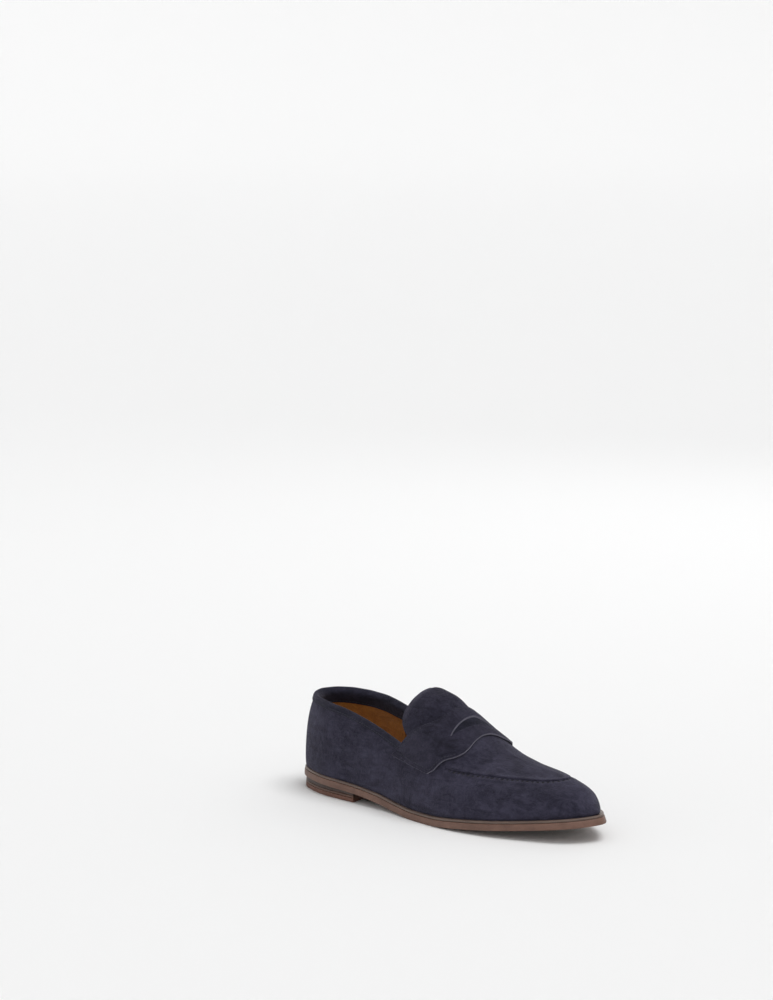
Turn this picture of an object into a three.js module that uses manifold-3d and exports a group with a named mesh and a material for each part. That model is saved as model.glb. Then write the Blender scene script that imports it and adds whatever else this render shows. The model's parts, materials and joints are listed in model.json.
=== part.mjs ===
// Penny loafer, right shoe, size 42 to 43.
// Millimetres. +X runs from the heel to the toe, +Y to the inner (medial) side, +Z up.
// Every piece is a closed solid with a small gap to its neighbours.
import * as THREE from 'three';
import Module from 'manifold-3d';

// ---------- driving sizes ----------
const LENGTH = 294; // outsole, heel to toe
const WIDTH = 101; // outsole across the ball
const RISE = 1; // scale of all heights above the sole
const HEEL = 7.4; // heel block at its front face
const WEDGE = 2.2; // extra heel height at the back
const SPRING = 13.4; // how far the toe tip stands off the floor
const OUTSOLE_T = 5.3;
const MIDSOLE_T = 1.7;
const SUEDE_T = 1.3;
const STIFF_T = 1.2;
const LINING_T = 1.0;
const STRAP_T = 1.3;
const BACKING_T = 0.6;
const TONGUE_T = 1.2;
const GAP = 0.25; // clearance between touching pieces
const LAYER_GAP = 0.5; // clearance between the curved layers of the upper
const THREAD_R = 0.35;
const NAIL_R = 0.9;

const KX = LENGTH / 294;
const KY = WIDTH / 101;
const HALF_PI = Math.PI / 2;

// Outsole outline, from the back of the heel round the outer side to the toe and home.
const OUTLINE = [
  [0, 1], [8, -20], [36, -34], [76, -38], [116, -41.5], [152, -48.5], [186, -51.5],
  [222, -46.5], [253, -36], [277, -23.5], [289.5, -10.5], [294, 2], [289, 11.5], [279, 21.5],
  [262, 32.5], [238, 42.5], [212, 48.5], [184, 46], [150, 33.5], [115, 24.5], [77, 29], [37, 33],
  [8, 21],
];
// How far the upper stands inside the sole edge, along the shoe.
const WELT = [[0, 1.2], [70, 1.4], [110, 2], [150, 2.4], [190, 3], [296, 3]];
// Height of the sole's underside along the shoe.
const UNDERSIDE = [[0, HEEL + WEDGE], [76, HEEL], [100, HEEL * 0.7], [125, HEEL * 0.2], [146, 0],
  [164, 0], [200, SPRING * 0.19], [240, SPRING * 0.49], [270, SPRING * 0.75], [298, SPRING]];
// Height of the ridge line of the upper.
const RIDGE = [[60, 103], [100, 97.5], [127, 91], [155, 82], [180, 66], [205, 52.6],
  [230, 47.5], [255, 45.5], [275, 46], [290, 31]];
const RIDGE_Y = [[30, 0], [80, 0.5], [120, 2], [160, 3], [200, 3.5], [240, 4], [260, 4]];
// Roundness of the cross-section, in plan and in height.
const PLAN_POWER = [[0, 0.95], [60, 0.95], [120, 1], [160, 1.05], [220, 1.1], [296, 1.12]];
const RISE_POWER = [[0, 1], [60, 1], [120, 1.05], [160, 1.05], [220, 0.97], [260, 0.96], [296, 1.15]];
const BULGE = [[0, 3], [60, 1.8], [120, 1], [200, 1.6], [296, 1.7]];
// Top edge of the side wall: the topline behind, the apron seam in front.
const EDGE_OUTER = [[38, 0.48], [60, 0.445], [80, 0.42], [104, 0.39], [118, 0.38], [140, 0.385],
  [165, 0.407], [175, 0.423], [190, 0.477], [200, 0.523], [210, 0.557], [220, 0.593], [230, 0.623],
  [236, 0.66], [240, 0.7]];
const EDGE_INNER = [[38, 0.48], [60, 0.455], [80, 0.435], [104, 0.405], [118, 0.395], [140, 0.395],
  [165, 0.41], [175, 0.43], [190, 0.46], [210, 0.51], [220, 0.545], [230, 0.585], [236, 0.635],
  [240, 0.7]];
// Strap edges against the distance from the crown: 0 at the crown, 1 at the end of the tab.
const STRAP_REAR = [[0, 156], [0.2, 156], [0.39, 154], [0.5, 149], [0.6, 141.5], [0.7, 133.5],
  [0.8, 127.5], [0.9, 122], [1, 115.5]];
const STRAP_FRONT = [[0, 184.3], [0.15, 183.7], [0.3, 184.5], [0.45, 185.5], [0.52, 185.2],
  [0.6, 183.3], [0.67, 180.2], [0.77, 173.5], [0.85, 169.8], [0.92, 167], [1, 160.4]];
const FRONT_DRAW = 4.5; // how far the inner half's front edge lies behind the outer half's
const TONGUE_REAR = [[0, 123], [0.25, 121.7], [0.42, 119.2], [0.6, 117.2], [0.66, 118], [0.72, 121.5],
  [0.78, 127]];
const TAB_T = 0.285; // girth position of the tab's lower edge
const SKEW = 6; // how far the inner end of the strap lies ahead
const SLIT_HALF = 0.5;
const SLIT_LINE = 169.3; // where the two edges of the slit meet
const SLIT_REAR = 2.3; // how far its rear edge bows back
const SLIT_FRONT = 5.4; // how far its front edge bows forward
const POLE_REAR = 38;
const POLE_FRONT = 240;
const BREAST = 76; // front face of the heel

// ---------- tables and curves ----------
// Smooth monotone interpolation through a table.
function curve(table) {
  const n = table.length;
  const slope = [];
  const step = [];
  for (let k = 0; k < n - 1; k += 1) {
    step.push(table[k + 1][0] - table[k][0]);
    slope.push((table[k + 1][1] - table[k][1]) / step[k]);
  }
  const tangent = table.map((_, k) => {
    if (k === 0) return slope[0];
    if (k === n - 1) return slope[n - 2];
    if (slope[k - 1] * slope[k] <= 0) return 0;
    const a = 2 * step[k] + step[k - 1];
    const b = step[k] + 2 * step[k - 1];
    return (a + b) / (a / slope[k - 1] + b / slope[k]);
  });
  return (x) => {
    if (x <= table[0][0]) return table[0][1];
    if (x >= table[n - 1][0]) return table[n - 1][1];
    let k = 0;
    while (x > table[k + 1][0]) k += 1;
    const u = (x - table[k][0]) / step[k];
    const v = 1 - u;
    return v * v * (1 + 2 * u) * table[k][1] + u * u * (3 - 2 * u) * table[k + 1][1]
      + step[k] * (u * v * v * tangent[k] - u * u * v * tangent[k + 1]);
  };
}

const stretched = (table) => table.map(([x, value]) => [x * KX, value]);
const welt = curve(stretched(WELT));
const underside = curve(stretched(UNDERSIDE));
const ridgeRaw = curve(stretched(RIDGE));
const ridgeY = curve(stretched(RIDGE_Y));
const planPower = curve(stretched(PLAN_POWER));
const risePower = curve(stretched(RISE_POWER));
const bulge = curve(stretched(BULGE));
const edgeOuter = curve(stretched(EDGE_OUTER));
const edgeInner = curve(stretched(EDGE_INNER));
const strapRearLine = curve(STRAP_REAR);
const strapFrontLine = curve(STRAP_FRONT);
const tongueRearLine = curve(TONGUE_REAR);
const strapRear = (c) => strapRearLine(Math.abs(c));
const strapFront = (c) => {
  return strapFrontLine(Math.abs(c)) - FRONT_DRAW * Math.exp(-(((c - 0.4) / 0.22) ** 2));
};
const tongueRear = (c) => tongueRearLine(Math.abs(c));

const SOLE_T = OUTSOLE_T + 0.2 + MIDSOLE_T;
const seat = (x) => underside(x) + SOLE_T;
const wallFoot = (x) => seat(x) + GAP;
const ridge = (x) => wallFoot(x) + (ridgeRaw(x) - wallFoot(x)) * RISE;

// Dense closed plan curve with outward normals.
function planRing(points, count) {
  const knots = points.map(([x, y]) => new THREE.Vector3(x * KX, y * KY, 0));
  const spline = new THREE.CatmullRomCurve3(knots, true, 'centripetal');
  spline.arcLengthDivisions = 1200;
  const ring = spline.getSpacedPoints(count).slice(0, count);
  return ring.map((p, i) => {
    const next = ring[(i + 1) % count];
    const prev = ring[(i + count - 1) % count];
    const n = new THREE.Vector3(prev.y - next.y, next.x - prev.x, 0).normalize();
    return { p, n: n.negate() };
  });
}

const RING_COUNT = 1440;
const soleRing = planRing(OUTLINE, RING_COUNT);
const footRing = soleRing.map(({ p, n }) => ({ p: p.clone().addScaledVector(n, -welt(p.x)), n }));
let TOE = 0;
footRing.forEach(({ p }, i) => {
  if (p.x > footRing[TOE].p.x) TOE = i;
});
let BACK = 0;
footRing.forEach(({ p }, i) => {
  if (p.x < footRing[BACK].p.x) BACK = i;
});
const FOOT_MIN = footRing[BACK].p.x;
const FOOT_MAX = footRing[TOE].p.x;

// Featherline point and normal at a fraction s of the way round.
function foot(s) {
  const at = (((s % 1) + 1) % 1) * RING_COUNT;
  const i = Math.floor(at);
  const a = footRing[i % RING_COUNT];
  const b = footRing[(i + 1) % RING_COUNT];
  const u = at - i;
  return { p: a.p.clone().lerp(b.p, u), n: a.n.clone().lerp(b.n, u).normalize() };
}

// Station along the spine that a featherline position belongs to.
function station(x) {
  const u = THREE.MathUtils.clamp((x - FOOT_MIN) / (FOOT_MAX - FOOT_MIN), 0, 1);
  const eased = u - (0.6 * Math.sin(2 * Math.PI * u)) / (2 * Math.PI);
  return KX * (POLE_REAR + (POLE_FRONT - POLE_REAR) * eased);
}

const S_BACK = BACK > RING_COUNT / 2 ? BACK / RING_COUNT - 1 : BACK / RING_COUNT;
const S_TOE = TOE / RING_COUNT;

// Fraction round the featherline on the outer (-1) or inner (+1) side for a station.
function around(side, xc) {
  let a = side < 0 ? S_BACK : S_BACK + 1;
  let b = S_TOE;
  for (let k = 0; k < 46; k += 1) {
    const mid = (a + b) / 2;
    if (station(foot(mid).p.x) < xc) a = mid;
    else b = mid;
  }
  return (a + b) / 2;
}

// ---------- master surface of the upper ----------
// s runs round the featherline, t climbs from it (0) to the ridge (1), d stands off it.
function skin(s, t, d) {
  const { p, n } = foot(s);
  const xc = station(p.x);
  const spine = new THREE.Vector3(xc, ridgeY(xc) * KY, 0);
  const cos = Math.max(0, Math.cos(HALF_PI * t));
  const sin = Math.max(0, Math.sin(HALF_PI * t));
  const inward = 1 - cos ** planPower(p.x);
  const up = sin ** risePower(p.x);
  const q = p.clone().addScaledVector(n, d).lerp(spine, inward);
  q.addScaledVector(n, bulge(p.x) * Math.sin(Math.PI * t) * cos ** 1.5);
  q.z = wallFoot(q.x) + (ridge(q.x) + d - wallFoot(q.x)) * up;
  return q;
}

// Girth position at which the surface has risen by a given height.
function girthAt(s, height) {
  const { p } = foot(s);
  const total = ridge(p.x) - wallFoot(p.x);
  return Math.asin(Math.min(1, (height / total) ** (1 / risePower(p.x)))) / HALF_PI;
}

const edgeAt = (side, xc) => (side < 0 ? edgeOuter(xc) : edgeInner(xc));

// Pairs of outer and inner featherline positions that share a station, evenly spaced.
function ribs(from, to, count) {
  const a = around(-1, from * KX);
  const b = to >= POLE_FRONT ? S_TOE : around(-1, to * KX);
  const list = [];
  for (let k = 0; k <= count; k += 1) {
    const s = a + ((b - a) * k) / count;
    const xc = station(foot(s).p.x);
    const end = k === count && to >= POLE_FRONT;
    list.push({ xc, outer: s, inner: end ? S_TOE : around(1, xc) });
  }
  return list;
}

const outerSide = (list) => list.map((r) => ({ s: r.outer, xc: r.xc, side: -1 }));
const innerSide = (list) => list.map((r) => ({ s: r.inner, xc: r.xc, side: 1 }));
// Outer side forward to the toe, then the inner side back.
const overToe = (list) => [...outerSide(list), ...innerSide(list).slice(0, -1).reverse()];

// A point over the vamp: c is -1 at the outer tab, 0 at the crown, 1 at the inner tab.
function saddle(c, along, d) {
  const side = c < 0 ? -1 : 1;
  const t = 1 - (1 - TAB_T) * Math.abs(c);
  const xc = (along + SKEW * Math.tanh(2 * c)) * KX;
  return skin(around(side, xc), t, d);
}

// ---------- solids ----------
// A closed slab between two matching grids of points; shared points are merged.
function slab(top, bottom, wrap = false) {
  const points = [];
  const under = [];
  const ids = new Map();
  const grid = top.map((row, r) => row.map((p, c) => {
    const q = bottom[r][c];
    const key = [p.x, p.y, p.z, q.x, q.y, q.z].map((v) => Math.round(v * 2000)).join();
    if (!ids.has(key)) {
      ids.set(key, points.length);
      points.push(p);
      under.push(q);
    }
    return ids.get(key);
  }));
  const faces = [];
  const columns = grid[0].length;
  const last = wrap ? columns : columns - 1;
  const add = (a, b, c) => {
    if (a !== b && b !== c && a !== c) faces.push([a, b, c]);
  };
  for (let r = 0; r < grid.length - 1; r += 1) {
    for (let c = 0; c < last; c += 1) {
      const n = (c + 1) % columns;
      add(grid[r][c], grid[r][n], grid[r + 1][n]);
      add(grid[r][c], grid[r + 1][n], grid[r + 1][c]);
    }
  }
  return closeSlab(points, under, faces);
}

// Joins the two faces of a slab along their open border.
function closeSlab(points, under, faces) {
  const edges = new Set();
  faces.forEach(([a, b, c]) => [[a, b], [b, c], [c, a]].forEach((e) => edges.add(e.join())));
  const n = points.length;
  const all = faces.map((f) => [...f]);
  faces.forEach(([a, b, c]) => all.push([c + n, b + n, a + n]));
  faces.forEach(([a, b, c]) => [[a, b], [b, c], [c, a]].forEach(([u, v]) => {
    if (edges.has([v, u].join())) return;
    all.push([v, u, u + n], [v, u + n, v + n]);
  }));
  return toGeometry([...points, ...under], all);
}

function toGeometry(points, faces) {
  let volume = 0;
  faces.forEach(([a, b, c]) => {
    volume += points[a].dot(new THREE.Vector3().crossVectors(points[b], points[c]));
  });
  const index = volume < 0 ? faces.flatMap(([a, b, c]) => [a, c, b]) : faces.flat();
  const geometry = new THREE.BufferGeometry();
  const flat = points.flatMap((p) => [p.x, p.y, p.z]);
  geometry.setAttribute('position', new THREE.Float32BufferAttribute(flat, 3));
  geometry.setIndex(index);
  geometry.computeVertexNormals();
  return geometry;
}

// Part of the master surface as a sheet: columns are featherline stations, t runs low to high.
function sheet(columns, low, high, rows, dOut, dIn) {
  const outOf = typeof dOut === 'function' ? dOut : () => dOut;
  const inOf = typeof dIn === 'function' ? dIn : () => dIn;
  const top = [];
  const bottom = [];
  for (let r = 0; r <= rows; r += 1) {
    const f = r / rows;
    const tAt = (k) => low(k) + (high(k) - low(k)) * f;
    top.push(columns.map((k) => skin(k.s, tAt(k), outOf(k, f))));
    bottom.push(columns.map((k) => skin(k.s, tAt(k), inOf(k, f))));
  }
  return slab(top, bottom);
}

// A sheet laid across the vamp, between two edges given against the distance from the crown.
function saddleSheet(cs, rear, front, steps, dOut, dIn) {
  const rows = (d) => cs.map((c) => {
    const row = [];
    for (let k = 0; k <= steps; k += 1) {
      const f = k / steps;
      row.push(saddle(c, rear(c) * (1 - f) + front(c) * f, d));
    }
    return row;
  });
  return slab(rows(dOut), rows(dIn));
}

// A point inside the featherline: square to it for 5 mm, then toward the spine, so that the ring of
// such points stays open round the toe.
function inside({ s, xc }, reach) {
  const { p, n } = foot(s);
  const q = p.clone().addScaledVector(n, -Math.min(reach, 5));
  const spine = new THREE.Vector3(xc, ridgeY(xc) * KY, 0);
  return q.lerp(spine, Math.min(0.95, Math.max(0, reach - 5) / q.distanceTo(spine)));
}

// A plate between two height functions, filling the featherline moved inward by an inset.
function plate(list, inset, low, high, rows = 3) {
  const columns = [...outerSide(list), ...innerSide(list).slice(1, -1).reverse()];
  const layer = (z) => {
    const grid = [];
    for (let r = 0; r <= rows; r += 1) {
      grid.push(columns.map(({ s, xc }) => {
        const q = inside({ s, xc }, inset(foot(s).p.x));
        q.lerp(new THREE.Vector3(xc, ridgeY(xc) * KY, 0), r / rows);
        q.z = z(q.x, r / rows);
        return q;
      }));
    }
    return grid;
  };
  return slab(layer(high), layer(low), true);
}

// A plate that fills a closed plan outline, fanned from a centre.
function fan(outline, centre, low, high, rows = 2) {
  const layer = (z) => {
    const grid = [];
    for (let r = 0; r <= rows; r += 1) {
      grid.push(outline.map((p) => {
        const q = p.clone().lerp(centre, r / rows);
        q.z = z(q.x, r / rows);
        return q;
      }));
    }
    return grid;
  };
  return slab(layer(high), layer(low), true);
}

// A round cord along a path; a closed path gives a ring.
function cord(path, radius, sides = 4, closed = false) {
  const n = path.length;
  const rings = path.map((p, i) => {
    const next = path[closed ? (i + 1) % n : Math.min(n - 1, i + 1)];
    const prev = path[closed ? (i + n - 1) % n : Math.max(0, i - 1)];
    const dir = next.clone().sub(prev).normalize();
    const u = new THREE.Vector3(0, 0, 1).cross(dir);
    if (u.length() < 0.05) u.set(0, 1, 0).cross(dir);
    u.normalize();
    const v = dir.clone().cross(u);
    return Array.from({ length: sides }, (_, k) => {
      const a = (2 * Math.PI * k) / sides;
      return p.clone().addScaledVector(u, radius * Math.cos(a)).addScaledVector(v, radius * Math.sin(a));
    });
  });
  const points = rings.flat();
  const faces = [];
  for (let i = 0; i < (closed ? n : n - 1); i += 1) {
    const a = i * sides;
    const b = ((i + 1) % n) * sides;
    for (let k = 0; k < sides; k += 1) {
      const m = (k + 1) % sides;
      faces.push([a + k, a + m, b + m], [a + k, b + m, b + k]);
    }
  }
  if (!closed) {
    const end = (n - 1) * sides;
    for (let k = 1; k < sides - 1; k += 1) faces.push([0, k + 1, k], [end, end + k, end + k + 1]);
  }
  return toGeometry(points, faces);
}

// ---------- booleans ----------
const wasm = await Module();
wasm.setup();

function toManifold(geometry) {
  const mesh = new wasm.Mesh({
    numProp: 3,
    vertProperties: new Float32Array(geometry.getAttribute('position').array),
    triVerts: new Uint32Array(geometry.getIndex().array),
  });
  mesh.merge();
  return new wasm.Manifold(mesh);
}

function subtract(geometry, cutters) {
  let body = toManifold(geometry);
  cutters.forEach((cutter) => {
    body = body.subtract(toManifold(cutter));
  });
  const mesh = body.getMesh();
  const result = new THREE.BufferGeometry();
  result.setAttribute('position', new THREE.Float32BufferAttribute(mesh.vertProperties, mesh.numProp));
  result.setIndex(Array.from(mesh.triVerts));
  result.computeVertexNormals();
  return result;
}

function upright(radius, x, y, low, high, sides) {
  const geometry = new THREE.CylinderGeometry(radius, radius, high - low, sides);
  geometry.rotateX(HALF_PI);
  geometry.translate(x, y, (low + high) / 2);
  const clean = new THREE.BufferGeometry();
  clean.setAttribute('position', geometry.getAttribute('position'));
  clean.setIndex(geometry.getIndex());
  return clean;
}

// ---------- the shoe ----------
const shoe = new THREE.Group();
shoe.name = 'penny_loafer';

function addPiece(name, geometry, colour, roughness, metalness = 0) {
  const material = new THREE.MeshStandardMaterial({ color: colour, roughness, metalness });
  material.name = name;
  const mesh = new THREE.Mesh(geometry, material);
  mesh.name = name;
  shoe.add(mesh);
}

const NAVY = 0x2f3346;
const NAVY_DARK = 0x20222f;
const TAN = 0xb9853f;
const BROWN = 0x6b4a3c;
const REDDISH = 0x8a5a48;

const wholeShoe = ribs(POLE_REAR, POLE_FRONT, 40);
const between = (from, to) => wholeShoe.filter((r) => r.xc >= from * KX && r.xc <= to * KX);

function addSole() {
  const z0 = (x) => underside(x) + OUTSOLE_T;
  const nails = nailSpots();
  const holes = nails.map(([x, y]) => upright(NAIL_R + 0.05, x, y, 5.2, underside(x) + OUTSOLE_T - 1.1, 12));
  const path = stitchPath();
  const groove = cord(path, 0.95, 4);
  const outsole = plate(wholeShoe, (x) => -welt(x), underside, z0, 3);
  addPiece('outsole', subtract(outsole, [groove, ...holes]), BROWN, 0.7);
  addPiece('outsole_stitch', cord(path, 0.5, 4), NAVY_DARK, 0.8);
  const rim = (x) => 0.35 - welt(x);
  addPiece('midsole', plate(wholeShoe, rim, (x) => z0(x) + 0.2, seat, 2), 0x9a7a60, 0.6);
  const ringAt = (inset) => heelRing(inset);
  const centre = new THREE.Vector3(38 * KX, -2 * KY, 0);
  const lift = (low, high, inset) => fan(ringAt(inset), centre, low, high, 1);
  addPiece('heel_top_lift', lift(() => 0, () => HEEL * 0.46, 1.2), REDDISH, 0.65);
  const second = lift(() => HEEL * 0.46 + 0.2, () => HEEL * 0.72, 1.4);
  addPiece('heel_lift_lower', second, BROWN, 0.65);
  const third = lift(() => HEEL * 0.72 + 0.2, (x) => underside(x) - 0.2, 1.5);
  const deep = nails.map(([x, y]) => upright(NAIL_R + 0.05, x, y, 5.8, 20, 12));
  addPiece('heel_lift_upper', subtract(third, deep), 0x54382d, 0.65);
  nails.forEach(([x, y], k) => {
    const top = underside(x) + OUTSOLE_T - 1.2;
    addPiece(`heel_nail_${k + 1}`, upright(NAIL_R, x, y, 5.9, top, 10), 0x9a8a60, 0.4, 0.9);
  });
}

// The heel block's plan outline: the sole edge behind the breast, then the curved breast.
function heelRing(inset) {
  const back = [];
  const a = around(-1, station(BREAST * KX));
  const b = around(1, station(BREAST * KX)) - 1;
  const count = 26;
  for (let k = 0; k <= count; k += 1) {
    const { p, n } = foot(a + ((b - a) * k) / count);
    back.push(p.clone().addScaledVector(n, welt(p.x) - inset));
  }
  const from = back[count];
  const to = back[0];
  const steps = 10;
  for (let k = 1; k < steps; k += 1) {
    const u = k / steps;
    const q = from.clone().lerp(to, u);
    q.x -= 4 * KX * (1 - (2 * u - 1) ** 2);
    back.push(q);
  }
  return back;
}

function nailSpots() {
  return [[14, 0], [28, 20], [28, -20], [54, 20], [54, -22]].map(([x, y]) => [x * KX, y * KY]);
}

// Row of stitches under the sole, from the outer waist round the toe to the inner waist.
function stitchPath() {
  const list = ribs(118, POLE_FRONT, 24);
  return overToe(list).map(({ s }) => {
    const { p, n } = foot(s);
    const q = p.clone().addScaledVector(n, welt(p.x) - 7);
    q.z = underside(q.x) + 0.62;
    return q;
  });
}

// Extra room that the floor pieces leave under the falling toe.
const toeRoom = (x) => 9 * THREE.MathUtils.smoothstep(x, 225 * KX, 290 * KX);

function addInside() {
  const floor = (x) => seat(x) + GAP;
  const flange = SUEDE_T + GAP;
  const boardLow = (x) => floor(x) + flange;
  const boardHigh = (x) => boardLow(x) + 2.2;
  addPiece('insole_board', plate(wholeShoe, (x) => 5 + toeRoom(x), boardLow, boardHigh, 2), 0xa98a62, 0.85);
  const filler = ribs(122, 232, 20);
  const wide = (c) => 0.52 * (1 - 0.35 * c ** 4);
  addPiece('cork_filler', innerPlate(filler, wide, floor, SUEDE_T), 0x9b6b3e, 0.9);
  const bar = ribs(66, 116, 10);
  addPiece('shank', innerPlate(bar, () => 0.24, floor, SUEDE_T), 0x8f9296, 0.35, 0.9);
  const bump = (x) => 2.3 * (1 - THREE.MathUtils.smoothstep(x, 62 * KX, 100 * KX));
  const padRing = heelRing(13).map((p) => p.clone());
  const centre = new THREE.Vector3(38 * KX, -1 * KY, 0);
  const padHigh = (x, f) => boardHigh(x) + GAP + 0.8 + 1.2 * f * Math.min(1, bump(x) / 2.3);
  addPiece('heel_pad', fan(padRing, centre, (x) => boardHigh(x) + GAP, padHigh, 3), 0xd8cdb4, 0.95);
  const sockLow = (x) => boardHigh(x) + GAP + bump(x);
  const sockInset = (x) => 5.4 + 1.4 * toeRoom(x);
  addPiece('sock_liner', plate(wholeShoe, sockInset, sockLow, (x) => sockLow(x) + 1.1, 3), TAN, 0.55);
}

// A flat strip down the middle of the shoe; the width is a share of the insole's half-width.
function innerPlate(list, share, floor, thickness) {
  const rows = [];
  const lower = [];
  list.forEach(({ xc, outer, inner }, k) => {
    const c = (2 * k) / (list.length - 1) - 1;
    const mid = new THREE.Vector3(xc, ridgeY(xc) * KY, 0);
    const a = mid.clone().lerp(foot(outer).p, share(c));
    const b = mid.clone().lerp(foot(inner).p, share(c));
    const row = [a, a.clone().lerp(b, 0.5), b];
    rows.push(row.map((p) => new THREE.Vector3(p.x, p.y, floor(p.x) + thickness)));
    lower.push(row.map((p) => new THREE.Vector3(p.x, p.y, floor(p.x))));
  });
  return slab(rows, lower);
}

// The side wall: one piece of suede from the back seam round the toe, with its lasting margin.
function wallGeometry() {
  const columns = overToe(wholeShoe);
  columns[0] = { ...columns[0], s: S_BACK + 0.0008 };
  columns[columns.length - 1] = { ...columns[columns.length - 1], s: S_BACK + 1 - 0.0008 };
  const margin = (k, reach, z) => {
    const q = inside(k, reach);
    q.z = wallFoot(q.x) + z;
    return q;
  };
  const top = [9, 4, 0.5].map((reach) => columns.map((k) => margin(k, reach, 0)));
  const bottom = [9, 4, SUEDE_T + 0.2].map((reach) => columns.map((k) => margin(k, reach, SUEDE_T)));
  const rows = 6;
  for (let r = 0; r <= rows; r += 1) {
    const f = (r / rows) ** 1.15;
    const tAt = (k) => girthAt(k.s, 2.4) * (1 - f) + edgeAt(k.side, k.xc) * f;
    top.push(columns.map((k) => skin(k.s, tAt(k), 0)));
    bottom.push(columns.map((k) => skin(k.s, tAt(k), -SUEDE_T)));
  }
  return slab(top, bottom);
}

function addUpper() {
  addPiece('side_wall', wallGeometry(), NAVY, 0.95);
  const vamp = overToe([...ribs(159, 159.5, 1).slice(0, 1), ...between(161, 999)]);
  const seam = (k) => edgeAt(k.side, k.xc) + 0.006;
  const free = (k) => {
    const start = k.side < 0 ? 169 : 181;
    return THREE.MathUtils.smoothstep(k.xc, start * KX, (start + 11) * KX);
  };
  const lip = (k, f) => (f < 0.2 ? 1.1 * (1 - f / 0.2) * free(k) : 0);
  addPiece('apron', sheet(vamp, seam, () => 1, 6, lip, (k, f) => lip(k, f) * 0.3 - SUEDE_T), NAVY, 0.95);
  const seamPath = overToe(ribs(169, POLE_FRONT, 22)).filter((k) => k.side < 0 || k.xc > 181 * KX)
    .map((k) => skin(k.s, edgeAt(k.side, k.xc) - 0.022, 0.5));
  addPiece('apron_seam_thread', cord(seamPath, THREAD_R), NAVY_DARK, 0.7);
  addStrap();
  addTongue();
  addCollar();
  addStiffeners();
  addLinings();
}

const spread = (from, to, count) => {
  return Array.from({ length: count + 1 }, (_, k) => from + ((to - from) * k) / count);
};

// Cutter for the crescent slit: nearly straight behind, bowed in front.
function slitCutter() {
  const cs = spread(-SLIT_HALF, SLIT_HALF, 14);
  const bow = (c, power) => Math.max(0, 1 - (c / SLIT_HALF) ** 2) ** power;
  const rear = (c) => SLIT_LINE - 0.3 - SLIT_REAR * bow(c, 0.6);
  const front = (c) => SLIT_LINE + SLIT_FRONT * bow(c, 0.9);
  return saddleSheet(cs, rear, front, 2, 6, 1);
}

function addStrap() {
  const base = GAP;
  const inner = base + BACKING_T;
  const cs = spread(-1, 1, 34);
  const strap = saddleSheet(cs, strapRear, strapFront, 5, inner + 0.3 + STRAP_T, inner + 0.3);
  addPiece('saddle_strap', subtract(strap, [slitCutter()]), NAVY, 0.95);
  const short = spread(-0.97, 0.97, 30);
  const rear = (c) => strapRear(c) + 1.5;
  const front = (c) => strapFront(c) - 1.5;
  const backing = saddleSheet(short, rear, front, 4, inner, base);
  addPiece('strap_backing', backing, NAVY_DARK, 0.9);
  const lift = inner + 0.3 + STRAP_T + 0.08 + THREAD_R;
  [[-1, 'outer'], [1, 'inner']].forEach(([side, label]) => {
    addPiece(`strap_thread_${label}`, cord(tabPath(side, lift), THREAD_R), 0x565a72, 0.7);
  });
}

// Stitch line inside the tab's edges: down its front, along its foot and up its back.
function tabPath(side, lift) {
  const path = [];
  const inset = 2.6;
  spread(0.7, 0.94, 8).forEach((c) => path.push(saddle(side * c, strapFront(side * c) - inset, lift)));
  const low = 0.955;
  const a = strapFront(side * low) - inset - 1;
  const b = strapRear(low) + inset + 1;
  spread(0, 1, 10).forEach((f) => path.push(saddle(side * low, a + (b - a) * f, lift)));
  spread(0.94, 0.8, 5).forEach((c) => path.push(saddle(side * c, strapRear(c) + inset, lift)));
  return path;
}

function addTongue() {
  const cs = spread(-0.78, 0.78, 20);
  const front = (c) => strapRear(c) - 0.9;
  const top = -0.1;
  const low = top - TONGUE_T;
  addPiece('tongue', saddleSheet(cs, tongueRear, front, 4, top, low), NAVY, 0.95);
  const rear = (c) => tongueRear(c) + 0.8;
  const inner = spread(-0.765, 0.765, 20);
  addPiece('tongue_lining', saddleSheet(inner, rear, front, 4, low - 0.2, low - 1), TAN, 0.6);
}

// The shared columns round the heel, from one station outside back to another inside.
function toplineColumns(outerEnd, innerEnd) {
  const a = outerSide(between(0, outerEnd)).reverse();
  const b = innerSide(between(0, innerEnd)).slice(1).map((k) => ({ ...k, s: k.s - 1 }));
  return [...a, ...b];
}

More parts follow.
